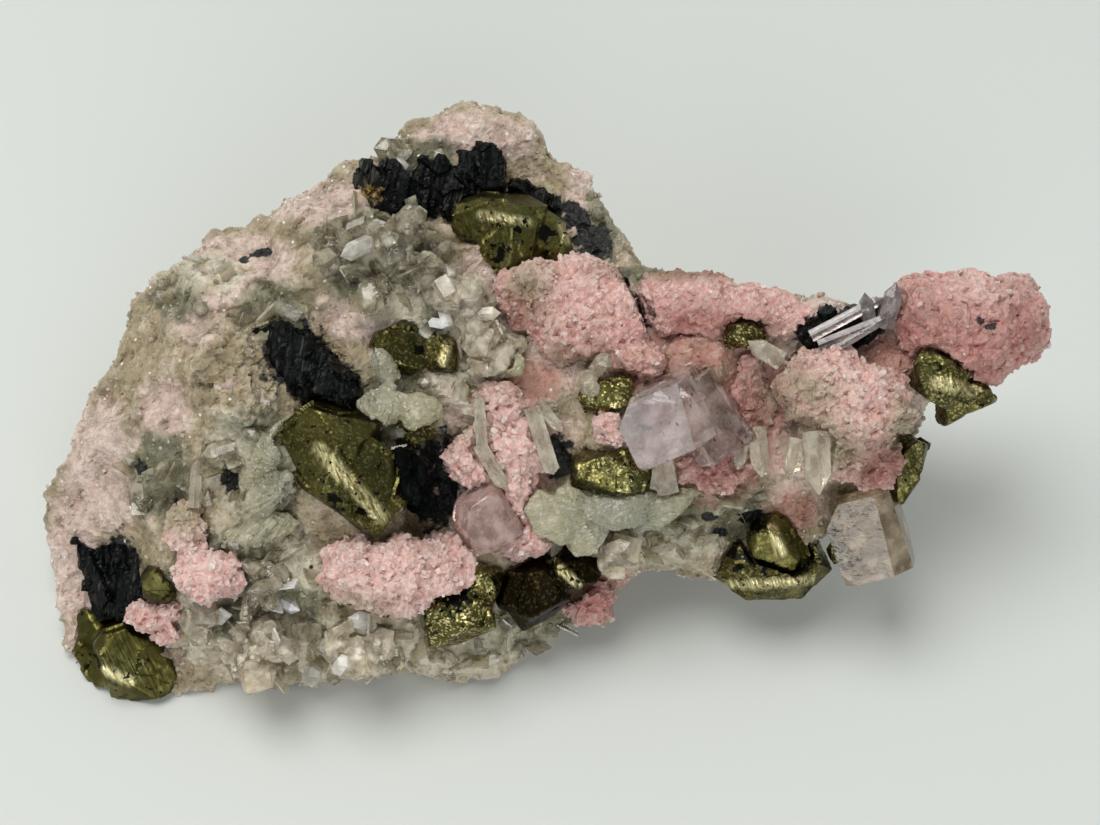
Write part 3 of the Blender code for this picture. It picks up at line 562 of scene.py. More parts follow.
rockColours = {
    "beige": [(0.3, (0.28, 0.23, 0.135)), (0.5, (0.41, 0.34, 0.215)), (0.7, (0.57, 0.49, 0.36))],
    "pink": [(0.3, (0.54, 0.44, 0.37)), (0.5, (0.68, 0.53, 0.46)), (0.7, (0.8, 0.68, 0.6))],
    "grey": [(0.3, (0.09, 0.085, 0.05)), (0.5, (0.215, 0.21, 0.125)), (0.7, (0.41, 0.4, 0.275))],
    # red-brown, partly the rock's own colour and partly painted shade in the recess under the slab
    "red": (0.5, 0.24, 0.19),
    "pale": (0.66, 0.62, 0.48),
    "grain": (0.8, 0.74, 0.66),
    # painted shade for the hollows and painted light for the crests of the relief
    "hollow": (0.3, 0.2, 0.14),
    "paintedCrestLight": (0.8, 0.74, 0.68),
    "fine": [(0.36, (0.7, 0.64, 0.58)), (0.5, (0.96, 0.95, 0.95)), (0.64, (1.2, 1.2, 1.2))],
    "glint": (1, 1, 0.98),
    # black, for dark ore and for painted shade in holes and gaps
    "dark": (0.01, 0.011, 0.01),
}


def rockFinish():
    # pale beige to dusty pink, grey-green quartz, red-brown and dark ore by the masks painted on the rock;
    # the red-brown and the dark are partly painted shade in recesses, holes and gaps, and there is painted
    # shade in the hollows, painted light on the crests, and painted glints
    material, tree, shader, place = newMaterial("granular rock")
    tone = maskInMaterial(tree, "tone")
    relief = maskInMaterial(tree, "relief")
    drift = noise(tree, place, 2.6, 5.0)
    swing = stretch(tree, drift, 0.35, 0.65, -0.3, 0.3)
    beige = ramp(tree, drift, rockColours["beige"])
    pink = ramp(tree, drift, rockColours["pink"])
    grey = ramp(tree, drift, rockColours["grey"])
    pinkShare = plus(tree, maskInMaterial(tree, "pink"), swing)
    greyShare = minus(tree, maskInMaterial(tree, "grey"), swing)
    redAndShadeShare = plus(tree, maskInMaterial(tree, "red"), swing)
    paleShare = plus(tree, maskInMaterial(tree, "pale"), swing)
    colour = cover(tree, beige, (pinkShare, 0.2, 0.8), pink)
    colour = cover(tree, colour, (greyShare, 0.25, 0.75), grey)
    colour = cover(tree, colour, (redAndShadeShare, 0.2, 1.0), rockColours["red"], 0.9)
    colour = cover(tree, colour, (tone, 0.5, 1), rockColours["grain"], 0.5)
    colour = cover(tree, colour, (paleShare, 0.2, 0.8), rockColours["pale"], 0.8)
    # painted shade: darker in the hollows of the relief
    colour = cover(tree, colour, (relief, 0.5, 0.1), rockColours["hollow"], 0.5)
    # painted light: paler on the crests of the relief
    colour = cover(tree, colour, (relief, 0.55, 1), rockColours["paintedCrestLight"], 0.35)
    fine = ramp(tree, noise(tree, place, 0.7, 5.0, 0.65), rockColours["fine"])
    colour = mixColour(tree, 0.7, colour, fine, "MULTIPLY")
    glint = specks(tree, place, 1.0, 0.17, 0.24)
    colour = mixColour(tree, glint, colour, rockColours["glint"])
    # black ore and painted shade in holes and gaps between crystals, with black specks
    dark = stretch(tree, ragged(tree, place, "dark", 1.0, 0.4), 0.6, 0.8)
    dark = maths(tree, "MAXIMUM", dark, specks(tree, place, 2.4, 0.12, 0.12))
    colour = mixColour(tree, dark, colour, rockColours["dark"])
    rough = stretch(tree, tone, 0.6, 1, 0.45, 0.1)
    setColour(tree, shader, colour, minus(tree, rough, times(tree, glint, 0.3)))
    setShader(shader, Subsurface_Weight=0.6, Subsurface_Radius=(1, 0.8, 0.65), Subsurface_Scale=0.45 * mm)
    addBump(tree, shader, plus(tree, facets(tree, place, 0.6), noise(tree, place, 0.35, 3.0)), 0.28)
    return material


pinkColours = {
    # grain colours by their random tone; the near-white top stop makes a few grains painted glints
    "grains": [
        (0, (0.6, 0.33, 0.29)), (0.25, (0.73, 0.47, 0.42)), (0.8, (0.85, 0.64, 0.59)),
        (1, (0.97, 0.9, 0.88))],
    "beige": (0.64, 0.5, 0.42),
    "rose": (0.76, 0.38, 0.34),
    # painted shade for the hollows and painted light for the crests of the relief
    "hollow": (0.46, 0.17, 0.14),
    "paintedCrestLight": (0.88, 0.68, 0.65),
    "paleBlotch": (0.92, 0.77, 0.73),
    "deepBlotch": (0.5, 0.23, 0.19),
    "light": (0.94, 0.74, 0.68),
    "stain": (0.44, 0.39, 0.26),
    "dusk": (0.66, 0.51, 0.49),
    "glint": (0.98, 0.95, 0.94),
    "dark": (0.02, 0.014, 0.012),
    "roughness": [(0, (0.5,) * 3), (0.85, (0.35,) * 3), (1, (0.08,) * 3)],
}


def pinkFinish():
    # sugary pink, redder and darker in the hollows by painted shade, paler on the crests by painted light,
    # darkened by painted shade on the tip, under the slab and in the recess, with painted glints, and
    # stained beige near the quartz
    material, tree, shader, place = newMaterial("pink rhodochrosite")
    tone = maskInMaterial(tree, "tone")
    relief = maskInMaterial(tree, "relief")
    drift = noise(tree, place, 2.0, 5.0)
    blotch = noise(tree, place, 0.4, 3.0, 0.6)
    colour = ramp(tree, tone, pinkColours["grains"])
    colour = cover(tree, colour, (drift, 0.48, 0.66), pinkColours["beige"], 0.6)
    colour = cover(tree, colour, (noise(tree, place, 3.0, 4.0), 0.5, 0.65), pinkColours["rose"], 0.5)
    # painted shade: redder and darker in the hollows of the relief
    colour = cover(tree, colour, (relief, 0.5, 0.05), pinkColours["hollow"], 0.75)
    # painted light: paler on the crests of the relief
    colour = cover(tree, colour, (relief, 0.6, 1), pinkColours["paintedCrestLight"], 0.6)
    colour = cover(tree, colour, (blotch, 0.52, 0.66), pinkColours["paleBlotch"], 0.6)
    colour = cover(tree, colour, (blotch, 0.47, 0.34), pinkColours["deepBlotch"], 0.6)
    light = times(tree, maskInMaterial(tree, "light"), 0.34)
    colour = mixColour(tree, light, colour, pinkColours["light"])
    stain = times(tree, maskInMaterial(tree, "stain"), stretch(tree, drift, 0.3, 0.6, 0.5, 1))
    colour = mixColour(tree, stain, colour, pinkColours["stain"])
    # painted shade: darker on the tip, under the slab and in the recess
    colour = mixColour(tree, maskInMaterial(tree, "dusk"), colour, pinkColours["dusk"], "MULTIPLY")
    colour = mixColour(tree, specks(tree, place, 0.9, 0.16, 0.06), colour, pinkColours["glint"])
    # dark pits, painted shade in the crack, and black specks
    dark = stretch(tree, ragged(tree, place, "pit", 0.5, 0.5), 0.55, 0.8)
    dark = maths(tree, "MAXIMUM", dark, specks(tree, place, 2.8, 0.08, 0.12))
    colour = mixColour(tree, dark, colour, pinkColours["dark"])
    setColour(tree, shader, colour, ramp(tree, tone, pinkColours["roughness"]))
    setShader(shader, Subsurface_Weight=0.45, Subsurface_Radius=(1, 0.6, 0.5), Subsurface_Scale=0.2 * mm)
    setShader(shader, IOR=1.55)
    addBump(tree, shader, plus(tree, facets(tree, place, 0.45), noise(tree, place, 0.25, 3.0)), 0.16)
    return material


brassColours = {
    "brass": [
        (0.3, (0.05, 0.044, 0.01)), (0.47, (0.125, 0.113, 0.03)), (0.62, (0.22, 0.2, 0.06)),
        (0.78, (0.45, 0.4, 0.16))],
    "olive": (0.11, 0.108, 0.035),
    "tarnish": [(0.35, (0.008, 0.006, 0.003)), (0.6, (0.025, 0.017, 0.007)), (0.8, (0.09, 0.06, 0.02))],
    "bands": [(0.35, (0.16, 0.14, 0.05)), (0.6, (0.82, 0.74, 0.4))],
    "sparkle": (0.75, 0.66, 0.33),
    "dark": (0.012, 0.012, 0.01),
}


def brassFinish():
    # olive to bronze tarnish over brass, fine growth lines, and bright bands and sparkles by masks
    material, tree, shader, place = newMaterial("chalcopyrite")
    bright = maskInMaterial(tree, "bright")
    sparkle = maskInMaterial(tree, "sparkle")
    lines = noise(tree, along(tree, place, (0.6, 0.35, 0.9), (1, 1, 0.1)), 0.25, 3.0)
    drift = noise(tree, place, 2.2, 5.0, 0.6)
    colour = ramp(tree, drift, brassColours["brass"])
    colour = cover(tree, colour, (noise(tree, place, 4, 2.0), 0.45, 0.62), brassColours["olive"])
    tarnish = ramp(tree, drift, brassColours["tarnish"])
    colour = mixColour(tree, maskInMaterial(tree, "tarnish"), colour, tarnish)
    colour = mixColour(tree, bright, colour, ramp(tree, lines, brassColours["bands"]))
    speck = firstPart(tree, cells(tree, place, 0.17)["Color"])
    lit = times(tree, sparkle, stretch(tree, speck, 0.72, 0.86))
    colour = mixColour(tree, lit, colour, brassColours["sparkle"])
    colour = cover(tree, colour, (ragged(tree, place, "dark", 0.7, 0.9), 0.55, 0.7), brassColours["dark"])
    setColour(tree, shader, colour, stretch(tree, drift, 0.35, 0.65, 0.48, 0.24))
    setShader(shader, Metallic=1.0)
    height = times(tree, lines, plus(tree, times(tree, bright, 1.5), 0.5))
    height = plus(tree, height, times(tree, facets(tree, place, 0.35), times(tree, sparkle, 2.5)))
    addBump(tree, shader, height, 0.08)
    return material


blackColours = {
    "black": [(0.35, (0.001, 0.0015, 0.0015)), (0.6, (0.003, 0.004, 0.004)), (0.75, (0.012, 0.014, 0.013))],
    "paintedHighlightStreaks": (0.34, 0.33, 0.24),
    "brown": [(0.45, (0.1, 0.06, 0.02)), (0.65, (0.4, 0.28, 0.1))],
}


def blackFinish(name, shine):
    # glossy black ore with fine lines that run along its plates, and painted highlight streaks on them
    material, tree, shader, place = newMaterial(name)
    lines = noise(tree, along(tree, place, (0, 0, 0.25), (1, 0.08, 0.08)), 0.3, 3.0)
    drift = noise(tree, place, 1.6, 4.0)
    fine = noise(tree, place, 0.5, 4.0, 0.7)
    paintedHighlightStreaks = times(tree, stretch(tree, lines, 0.56, 0.64), stretch(tree, drift, 0.52, 0.62, 0, shine))
    colour = mixColour(tree, paintedHighlightStreaks, ramp(tree, drift, blackColours["black"]), blackColours["paintedHighlightStreaks"])
    brown = times(tree, maskInMaterial(tree, "brown"), fine)
    colour = cover(tree, colour, (brown, 0.4, 0.55), ramp(tree, fine, blackColours["brown"]))
    setColour(tree, shader, colour, stretch(tree, drift, 0.35, 0.65, 0.22, 0.45))
    setShader(shader, IOR=1.5, Specular_IOR_Level=shine)
    addBump(tree, shader, plus(tree, lines, facets(tree, place, 0.6)), 0.12)
    return material


def quartzFinish(name, values):
    # cloudy veils in clear crystal, with shapes painted white as painted highlights, dark spots and a tint
    # that deepens with thickness
    material, tree, shader, place = newMaterial(name)
    colour = values["colour"]
    veil = stretch(tree, noise(tree, place, 1.4, 4.0), 0.4, 0.65, *values["milk"])
    shade = mixColour(tree, noise(tree, place, 0.8, 3.0), tuple(0.85 * part for part in colour), colour)
    drawn = along(tree, place, (0.3, 0.2, 0.8), (1, 2.2, 1))
    spots = specks(tree, drawn, 1.1, 0.24, values.get("spotted", 0.0))
    shade = mixColour(tree, spots, shade, (0.08, 0.06, 0.06))
    lit = stretch(tree, maskInMaterial(tree, "tone"), 0.93, 0.96, 0, 0.5)
    gleam = times(tree, maskInMaterial(tree, "gleam"), maskInMaterial(tree, "grown"))
    lit = maths(tree, "MAXIMUM", lit, stretch(tree, gleam, 0.5, 0.7))
    tree.links.new(mixColour(tree, lit, shade, (1, 1, 1)), shader.inputs["Base Color"])
    clear = minus(tree, minus(tree, 1.0, veil), times(tree, lit, 0.6))
    tree.links.new(clear, shader.inputs["Transmission Weight"])
    setShader(shader, Roughness=0.04, IOR=1.6)
    lines = noise(tree, along(tree, place, (0.2, 0.1, 0.4), (0.15, 1, 1)), 0.35, 2.0)
    addBump(tree, shader, lines, values["depth"])
    inputs = {"Color": opaque(values["tint"]), "Density": values["perMetre"]}
    tint = addNode(tree, "ShaderNodeVolumeAbsorption", inputs)
    tree.links.new(tint.outputs[0], tree.nodes["Material Output"].inputs["Volume"])
    return material


calciteColours = {
    "body": [(0.3, (0.54, 0.5, 0.33)), (0.55, (0.7, 0.66, 0.46)), (0.75, (0.84, 0.8, 0.64))],
    "root": (0.47, 0.47, 0.37),
    "rib": (0.8, 0.77, 0.64),
}


def calciteFinish():
    # cloudy, pearly and pale yellow-green, greyer towards the roots of its ribs
    material, tree, shader, place = newMaterial("calcite")
    rib = maskInMaterial(tree, "rib")
    colour = ramp(tree, noise(tree, place, 1.8, 4.0), calciteColours["body"])
    colour = cover(tree, colour, (maskInMaterial(tree, "root"), 0.3, 0.9), calciteColours["root"], 0.8)
    colour = cover(tree, colour, (rib, 0.5, 0.95), calciteColours["rib"], 0.5)
    setColour(tree, shader, colour, stretch(tree, rib, 0.2, 0.8, 0.4, 0.15))
    setShader(shader, Subsurface_Weight=0.35, Subsurface_Radius=(1, 0.9, 0.6), Subsurface_Scale=0.8 * mm)
    setShader(shader, Transmission_Weight=0.5, IOR=1.6)
    addBump(tree, shader, plus(tree, rib, noise(tree, place, 0.6, 3.0)), 0.1)
    return material


# milk is how cloudy the crystal is, from and to, depth that of its growth lines in millimetres, perMetre
# how strongly its tint deepens, and spotted the share of dark spots
crystalValues = {
    "quartz": dict(
        colour=(0.92, 0.85, 0.7), milk=(0.15, 0.4), depth=0.05, tint=(0.92, 0.86, 0.66), perMetre=40),
    "quartz spray": dict(
        colour=(0.77, 0.71, 0.54), milk=(0.08, 0.5), depth=0.04, tint=(0.93, 0.87, 0.64), perMetre=60),
    "shelf quartz": dict(
        colour=(1, 0.91, 0.73), milk=(0.2, 0.6), depth=0.04, tint=(0.96, 0.91, 0.74), perMetre=25),
    "arm quartz": dict(
        colour=(0.54, 0.48, 0.46), milk=(0.15, 0.45), depth=0.03, tint=(0.86, 0.8, 0.78), perMetre=60),
    "clear quartz": dict(
        colour=(0.54, 0.44, 0.31), milk=(0.05, 0.5), depth=0.06, tint=(0.9, 0.8, 0.68),
        perMetre=110, spotted=0.15),
    "fluorite": dict(
        colour=(0.92, 0.8, 0.76), milk=(0.02, 0.22), depth=0.015, tint=(0.93, 0.82, 0.82),
        perMetre=40, spotted=0.3),
    "lilac crystal": dict(
        colour=(0.9, 0.68, 0.62), milk=(0.2, 0.5), depth=0.02, tint=(0.93, 0.8, 0.8), perMetre=25),
}

print("finishes")
rockMaterial = rockFinish()
pinkMaterial = pinkFinish()
brassMaterial = brassFinish()
blackMaterial = blackFinish("black sphalerite", 0.16)
pocketMaterial = blackFinish("black pocket", 0.03)
calciteMaterial = calciteFinish()
crystals = {name: quartzFinish(name, values) for name, values in crystalValues.items()}


# ---- the masks painted on the rock: soft spots as across, up, half width, half height

rockZones = {
    "pink": [
        (-7.2, 25.4, 5, 2.2), (3.6, 19.5, 2.2, 4.5), (-19.5, 19.0, 5, 2.2), (-28.0, 13.5, 5, 2.5),
        (-41, -5, 4, 6), (-44.0, -14, 3, 6), (-4.5, 12.5, 3, 3), (-31.4, 9.6, 2.4, 3),
        (-34.4, 0.4, 2.2, 2.6), (2.5, 8, 5, 6), (-6, 8, 4, 5), (12, 9, 6, 4), (25, 2, 8, 9),
        (-36.0, -19.0, 4, 4), (-7, 6, 4, 4), (-27, -22.5, 3, 1.5), (-12, -23, 3, 1.2), (-5, -4, 6, 6),
        (12, -5, 5, 4), (35, 5, 6, 6), (-16, 9, 4, 3),
    ],
    "grey": [
        (-15, 14, 5, 4.5), (-24.5, 9.0, 3.2, 2.6), (-33.5, 10.5, 2.6, 2.0), (-27, -15, 7, 4),
        (-25, -19.5, 6, 2.0), (4, -10, 5, 4.5), (-11.5, 8, 2.4, 2.6), (11, 12.6, 4, 1.2),
        (14, -9, 5, 3), (-25.5, -5, 3, 6), (-35, -6, 3, 4), (30, 9.8, 3, 1.5), (-2, -20, 5, 3),
        (4.6, 17.0, 1.5, 5), (-14, -0.5, 4, 4), (-12, 23.4, 3, 1.4),
    ],
    "pale": [
        (-25.0, -11.5, 3.5, 2.6), (-8, 5.0, 3.5, 3), (-28, -5, 3, 4), (8, -12, 6, 2),
        (-22.4, -14.5, 4, 1.2), (-13.5, 9.5, 2.5, 2.0), (-16, -21.5, 14, 3.0), (-8, -21.5, 4, 1.6),
        (-6, 2, 2, 3), (-32.5, -20.5, 2, 2), (26, -13, 4, 1.2), (-31.6, -17.8, 2, 2),
        (-31.5, 12.4, 4, 1.6),
    ],
    # red: red-brown patches, partly painted shade under the slab and in the recess
    "red": [
        (18, 0.4, 3.4, 5), (15, -5, 4, 3), (12.5, 5.6, 5, 2.0), (-3.0, -4, 3, 6), (9, 2, 2, 3),
        (30, 4.5, 2.5, 3), (-1.5, 2.5, 2.5, 2), (4.5, -14.5, 3, 2), (22, -9, 2, 2),
    ],
    # dark: black ore, and painted shade in holes and in gaps between crystals
    "dark": [
        (-11.5, 19.8, 5.2, 2.4), (0.6, 18.2, 3.0, 1.8), (3.8, 15.6, 2.0, 2.6), (-22.4, 5.0, 3.0, 3.0),
        (-19.6, 1.6, 3.0, 3.6), (-39.6, -15.8, 2.4, 5.0), (-10.2, -6.4, 2.2, 5.0),
        (0.8, -3.8, 1.7, 2.1), (-28.4, -5.8, 1.0, 1.5), (-36.6, -4.8, 0.7, 0.8), (18.1, 4.6, 1.3, 0.9),
        (19.0, -9.6, 2.0, 0.8), (14.2, -9.4, 0.9, 0.5), (15.4, -10.8, 0.8, 0.5),
        (-26.0, 14.4, 1.2, 0.5), (-27.6, 13.8, 0.6, 0.4), (-0.9, -14.0, 1.6, 1.6),
        (-33.5, -9.5, 0.4, 2.0), (-5.0, 20.9, 1.2, 1.0),
    ],
}


# quartz shapes painted white as painted highlights
gleamSpots = [
    (-31.6, -17.8, 1.9, 2.0), (-22.8, -16.2, 2.4, 1.3), (-6.8, -2.5, 1.3, 0.9), (-11.7, 0.7, 1.2, 0.9),
    (-9.9, 8.0, 0.9, 0.6), (-7.1, 7.3, 0.7, 0.6), (-16.0, 10.6, 0.8, 0.8), (-4.0, -19.6, 1.2, 0.8),
]


def softSpots(across, up, spots, peak=1.2, fall=0.7, power=1.5):
    mask = np.zeros(len(across))
    for middle, height, halfWidth, halfHeight in spots:
        reach = ((across - middle) / halfWidth) ** 2 + ((up - height) / halfHeight) ** 2
        mask = np.maximum(mask, peak * np.exp(-fall * reach ** power))
    return mask


def paintRock(piece):
    points = readPoints(piece)
    across, up = onFace(points)[:2]
    facing = readNormals(piece) @ np.array(faceOut)
    masks = {name: softSpots(across, up, spots) for name, spots in rockZones.items()}
    # the painted places belong to the front, and the back has soft patches of its own
    front = np.clip((facing + 0.15) / 0.35, 0, 1)
    x, y, z = (points / mm).T
    patch = np.sin(0.31 * x + 1.4 * np.sin(0.27 * z + 0.2 * y))
    patch = patch * np.sin(0.36 * z + 1.2 * np.sin(0.24 * x + 1.0))
    streak = np.sin(0.22 * x - 0.34 * z + 1.7 * np.sin(0.3 * y + 0.2 * x))
    streak = streak * np.sin(0.27 * z + 0.19 * x + 0.8)
    behind = {"pink": 0.5 + 0.6 * patch, "grey": 1.1 * streak - 0.25, "pale": 0.3 - 0.7 * patch}
    for name, mask in masks.items():
        masks[name] = mask * front + behind.get(name, 0) * (1 - front)
        storeMask(piece, name, masks[name])
    storeEven(piece, "tone", 0.3)
    storeEven(piece, "grown", 0)
    storeMask(piece, "gleam", softSpots(across, up, gleamSpots))
    free = np.clip(1.9 - 2.4 * masks["dark"], 0, 1)
    clear = points[:, 2] > 0.4 * mm
    storeMask(piece, "faceCrust", free * clear * (facing > -0.05))
    storeMask(piece, "backCrust", clear * (facing <= -0.05))
    sprayed = np.maximum(masks["grey"], masks["pale"]) * 1.6 - 0.6
    # the upper rim and the arm's top edge stay bare of points
    rimmed = np.where(up > 7, np.clip((facing - 0.25) / 0.3, 0, 1), facing > -0.1)
    rimmed = rimmed * ((across < 6) | (up < 10.5))
    storeMask(piece, "spray", sprayed * free * (points[:, 2] > 1.5 * mm) * rimmed)


# ---- the rock

rockValues = {
    "voxel": 0.37,
    "layers": [("noise", 3.4, 1.0), ("facets", 2.6, 0.8), ("facets", 1.3, 0.4), ("noise", 0.8, 0.15)],
    "faceGrains": dict(
        perSquare=1.3, gap=0.45, size=(0.00025, 0.00065), tilt=60, seed=11, where="faceCrust"),
    "backGrains": dict(
        perSquare=0.7, gap=0.6, size=(0.0004, 0.0009), tilt=60, seed=15, where="backCrust"),
    "points": dict(
        perSquare=0.42, gap=0.85, size=(0.0011, 0.003), tilt=55, seed=21, where="spray", family=2.8),
}


def broken(tree, place):
    # large broken faces at the back, with steps between them
    steps = times(tree, facets(tree, place, 9), 3.6)
    steps = plus(tree, steps, times(tree, facets(tree, place, 4.5), 1.6))
    return times(tree, times(tree, steps, mm), readMask(tree, "behind"))


print("rock")
rock = copyNode("rock_matrix", "rock")
remesh(rock, rockValues["voxel"], 1)
storeMask(rock, "behind", np.clip(0.3 - 2 * readNormals(rock) @ np.array(faceOut), 0, 1))
displace(rock, broken)
roughen(rock, rockValues["layers"])
storeRelief(rock, "relief", 10, 0.5)
paintRock(rock)


def growOnRock(pieceName, shapes, values, material):
    # grains as a piece of their own, without the rock's surface
    crust = rock.copy()
    crust.data = rock.data.copy()
    crust.name = crust.data.name = pieceName
    bpy.context.scene.collection.objects.link(crust)
    grow(crust, shapes, dict(values, alone=True))
    print(pieceName, "triangles", countTriangles(crust))
    finishPiece(crust, material)


growOnRock("face_grains", crustShapes, rockValues["faceGrains"], rockMaterial)
growOnRock("back_grains", crustShapes, rockValues["backGrains"], rockMaterial)
growOnRock("quartz_spray", quartzShapes, rockValues["points"], crystals["quartz spray"])
finishPiece(rock, rockMaterial, ["rock_matrix"])


# ---- the pink masses: a lumpy body with sugar grown all over it

pinkValues = {
    "voxel": 0.24,
    "layers": [("noise", 2.6, 1.3), ("cells", 1.8, 0.8), ("facets", 1.0, 1.0), ("corners", 0.55, 0.26)],
    "grains": dict(
        perSquare=1.8, gap=0.42, size=(0.00035, 0.00075), tilt=60, seed=41, where="sugar", family=1.2),
    "shards": dict(perSquare=0.3, gap=0.7, size=(0.0006, 0.0012), tilt=50, seed=45, where="shards"),
    "crackWidth": 0.34,
    "crackDepth": 2.2,
}
# how rough each mass is
pinkNodes = {
    "oval": 0.9, "left_lobes": 0.9, "fan": 0.8, "column": 0.8, "knob": 0.9, "slab": 0.6, "recess": 0.8,
    "ball": 0.95, "tip": 0.65, "lower_left": 0.9, "bottom": 0.8,
}
# where the sugar is stained, where painted shade darkens it, and where it is paler: across, up, half width,
# half height
stainSpots = [
    (-19, -17.8, 4.5, 2.2), (1.0, 3.5, 4.5, 2.2), (20.6, 1.0, 2.6, 4.4), (23.0, -2.4, 3.2, 2.6),
    (-33, -9, 3, 2), (-2, 11, 2, 3), (31, -1.5, 2, 3), (-8, 0, 2, 2.5), (11, 12.8, 6, 0.9),
    (22.0, 1.6, 2.6, 2.4), (25.0, -3.6, 2.6, 1.6),
]
paintedShadeSpots = [
    (36.5, 5.0, 7, 5), (41, 7, 4, 5), (34, 6, 4, 5), (31.5, 8, 3, 4), (18, 0.4, 3.6, 5),
    (14, 5.8, 6, 1.8), (15, -5, 4, 3), (3, 3, 6, 2.6), (29.5, -5, 3, 3), (-3, 9, 3, 3), (4, -17, 3, 3),
    (12, 12.6, 7, 0.9), (14, 7.8, 6, 2.0),
]
lightSpots = [
    (-13, -13.4, 6, 4), (-31, -13, 3.5, 3.5), (26.4, 3.0, 4, 2.6), (-1, 12.6, 3, 2.4), (-4, -3, 3, 5),
    (6, -1, 2, 2), (38, 11, 4, 1.6), (23, -7.6, 3, 1.6),
]
# dark pits: across, up, radius
pits = [
    (38.4, 7.4, 0.6), (37.4, 7.9, 0.4), (41.0, 8.4, 0.25), (35.4, 4.2, 0.5), (36.4, 3.2, 0.5),
    (34.6, 4.9, 0.4), (39.4, 8.6, 0.2), (1.6, 10.3, 0.2), (6.3, 7.6, 0.2), (25.2, -6.9, 0.25),
    (-30.4, -10.6, 0.25),
]
crackLine = [(6.4, 13.0), (6.9, 11.8), (7.7, 10.1), (8.5, 7.9), (9.4, 6.5), (11.0, 4.3)]


def distanceToLine(across, up, line):
    nearest = np.full(len(across), 1e6)
    for (x0, y0), (x1, y1) in zip(line, line[1:]):
        run = np.array((x1 - x0, y1 - y0))
        share = np.clip(((across - x0) * run[0] + (up - y0) * run[1]) / (run @ run), 0, 1)
        nearest = np.minimum(nearest, np.hypot(across - x0 - share * run[0], up - y0 - share * run[1]))
    return nearest


def roundSpots(across, up, spots):
    # spots with a narrow edge, as across, up and radius
    mask = np.zeros(len(across))
    for middle, height, radius in spots:
        mask = np.maximum(mask, 1.5 - np.hypot(across - middle, up - height) / radius)
    return mask


def paintPink(piece):
    points = readPoints(piece)
    across, up = onFace(points)[:2]
    light = softSpots(across, up, lightSpots, 1.1, 1, 1)
    storeMask(piece, "light", light)
    storeMask(piece, "stain", softSpots(across, up, stainSpots, 1.1, 1, 1))
    storeMask(piece, "dusk", softSpots(across, up, paintedShadeSpots, 1.1, 1, 1))
    storeEven(piece, "tone", 0.25)
    storeEven(piece, "grown", 0)
    crack = distanceToLine(across, up, crackLine)
    depth = np.clip(1.2 - crack / pinkValues["crackWidth"], 0, 1)
    writePoints(piece, points - np.outer(depth * pinkValues["crackDepth"] * mm, np.array(faceOut)))
    pit = roundSpots(across, up, pits)
    # the crack is darkened here as well: painted shade in it
    storeMask(piece, "pit", np.maximum(pit, 2 * depth))
    storeMask(piece, "sugar", np.where((depth > 0) | (pit > 0.4), 0, 1))
    storeMask(piece, "shards", np.where(depth > 0, 0, light))


print("pink masses")
pinkTriangles = 0
for index, (part, rough) in enumerate(pinkNodes.items()):
    mass = copyNode(f"rhodochrosite_{part}", f"pink_{part}")
    remesh(mass, pinkValues["voxel"], 3)
    roughen(mass, [(kind, size, rise * rough) for kind, size, rise in pinkValues["layers"]])
    storeRelief(mass, "relief", 8, 0.4)
    paintPink(mass)
    grains = seeded(pinkValues["grains"], index)
    grains["perSquare"] *= rough ** 2
    grow(mass, sugarShapes, grains)
    grow(mass, quartzShapes, seeded(pinkValues["shards"], index))
    pinkTriangles += countTriangles(mass)
    finishPiece(mass, pinkMaterial, [f"rhodochrosite_{part}"])
print("pink triangles", pinkTriangles)


# ---- chalcopyrite

brassValues = {
    "voxel": 0.2,
    "layers": [
        ("facets", 3.4, 0.6), ("noise", 3.0, 0.15), ("patchySteps", 0.4, 0.06), ("noise", 0.8, 0.04)],
}
# how dark each crystal's tarnish is, and how much it sparkles
brassNodes = {
    "upper": (0.1, 0.1), "centre": (0.35, 0.15), "lower_left": (0.3, 0.0), "pair": (0.45, 0.2),
    "by_knob": (0.1, 0.8), "middle": (0.15, 0.4), "front": (0.2, 0.8), "foot": (1.0, 0.05),
    "speck": (0.2, 0.7), "tip": (0.15, 0.4), "right_edge": (0.4, 0.2), "wedge": (0.2, 0.1),
    "bottom": (0.5, 0.2), "chip": (0.5, 0.3), "left_chip": (0.4, 0.0), "under_lens": (0.4, 0.4),
}
# bright striated bands: start and end on the face, and half width
brightBands = [
    ((-19.8, -3.2), (-14.6, -9.0), 0.65), ((-6.2, 17.6), (-2.0, 17.0), 0.45),
    ((1.2, 16.9), (1.6, 15.6), 0.5), ((-8.8, 6.2), (-9.4, 4.4), 0.4), ((33.6, 2.6), (37.6, 1.8), 0.6),
    ((20.0, -10.4), (20.8, -12.6), 0.5), ((-40.4, -23.4), (-38.4, -24.4), 0.6),
    ((16.4, -15.6), (23.6, -15.2), 0.5), ((0.4, -13.4), (2.6, -15.4), 0.4),
]
# black spots on some of them: across, up, radius
darkSpots = {
    "centre": [(-19.2, -8.2, 1.1), (-16.2, -8.6, 0.4)],
    "upper": [(-0.5, 16.2, 0.8), (-2.8, 16.4, 0.4), (-2.2, 16.9, 0.4), (-4.6, 14.0, 0.9)],
    "bottom": [(17.2, -12.8, 1.2), (19.0, -13.0, 1.5), (21.2, -13.0, 1.5), (23.0, -12.8, 1.2)],
    "wedge": [(18.8, -10.2, 0.7)],
    "front": [(-8.4, -15.8, 1.6)],
    "pair": [(-11.4, 5.4, 0.5)],
}


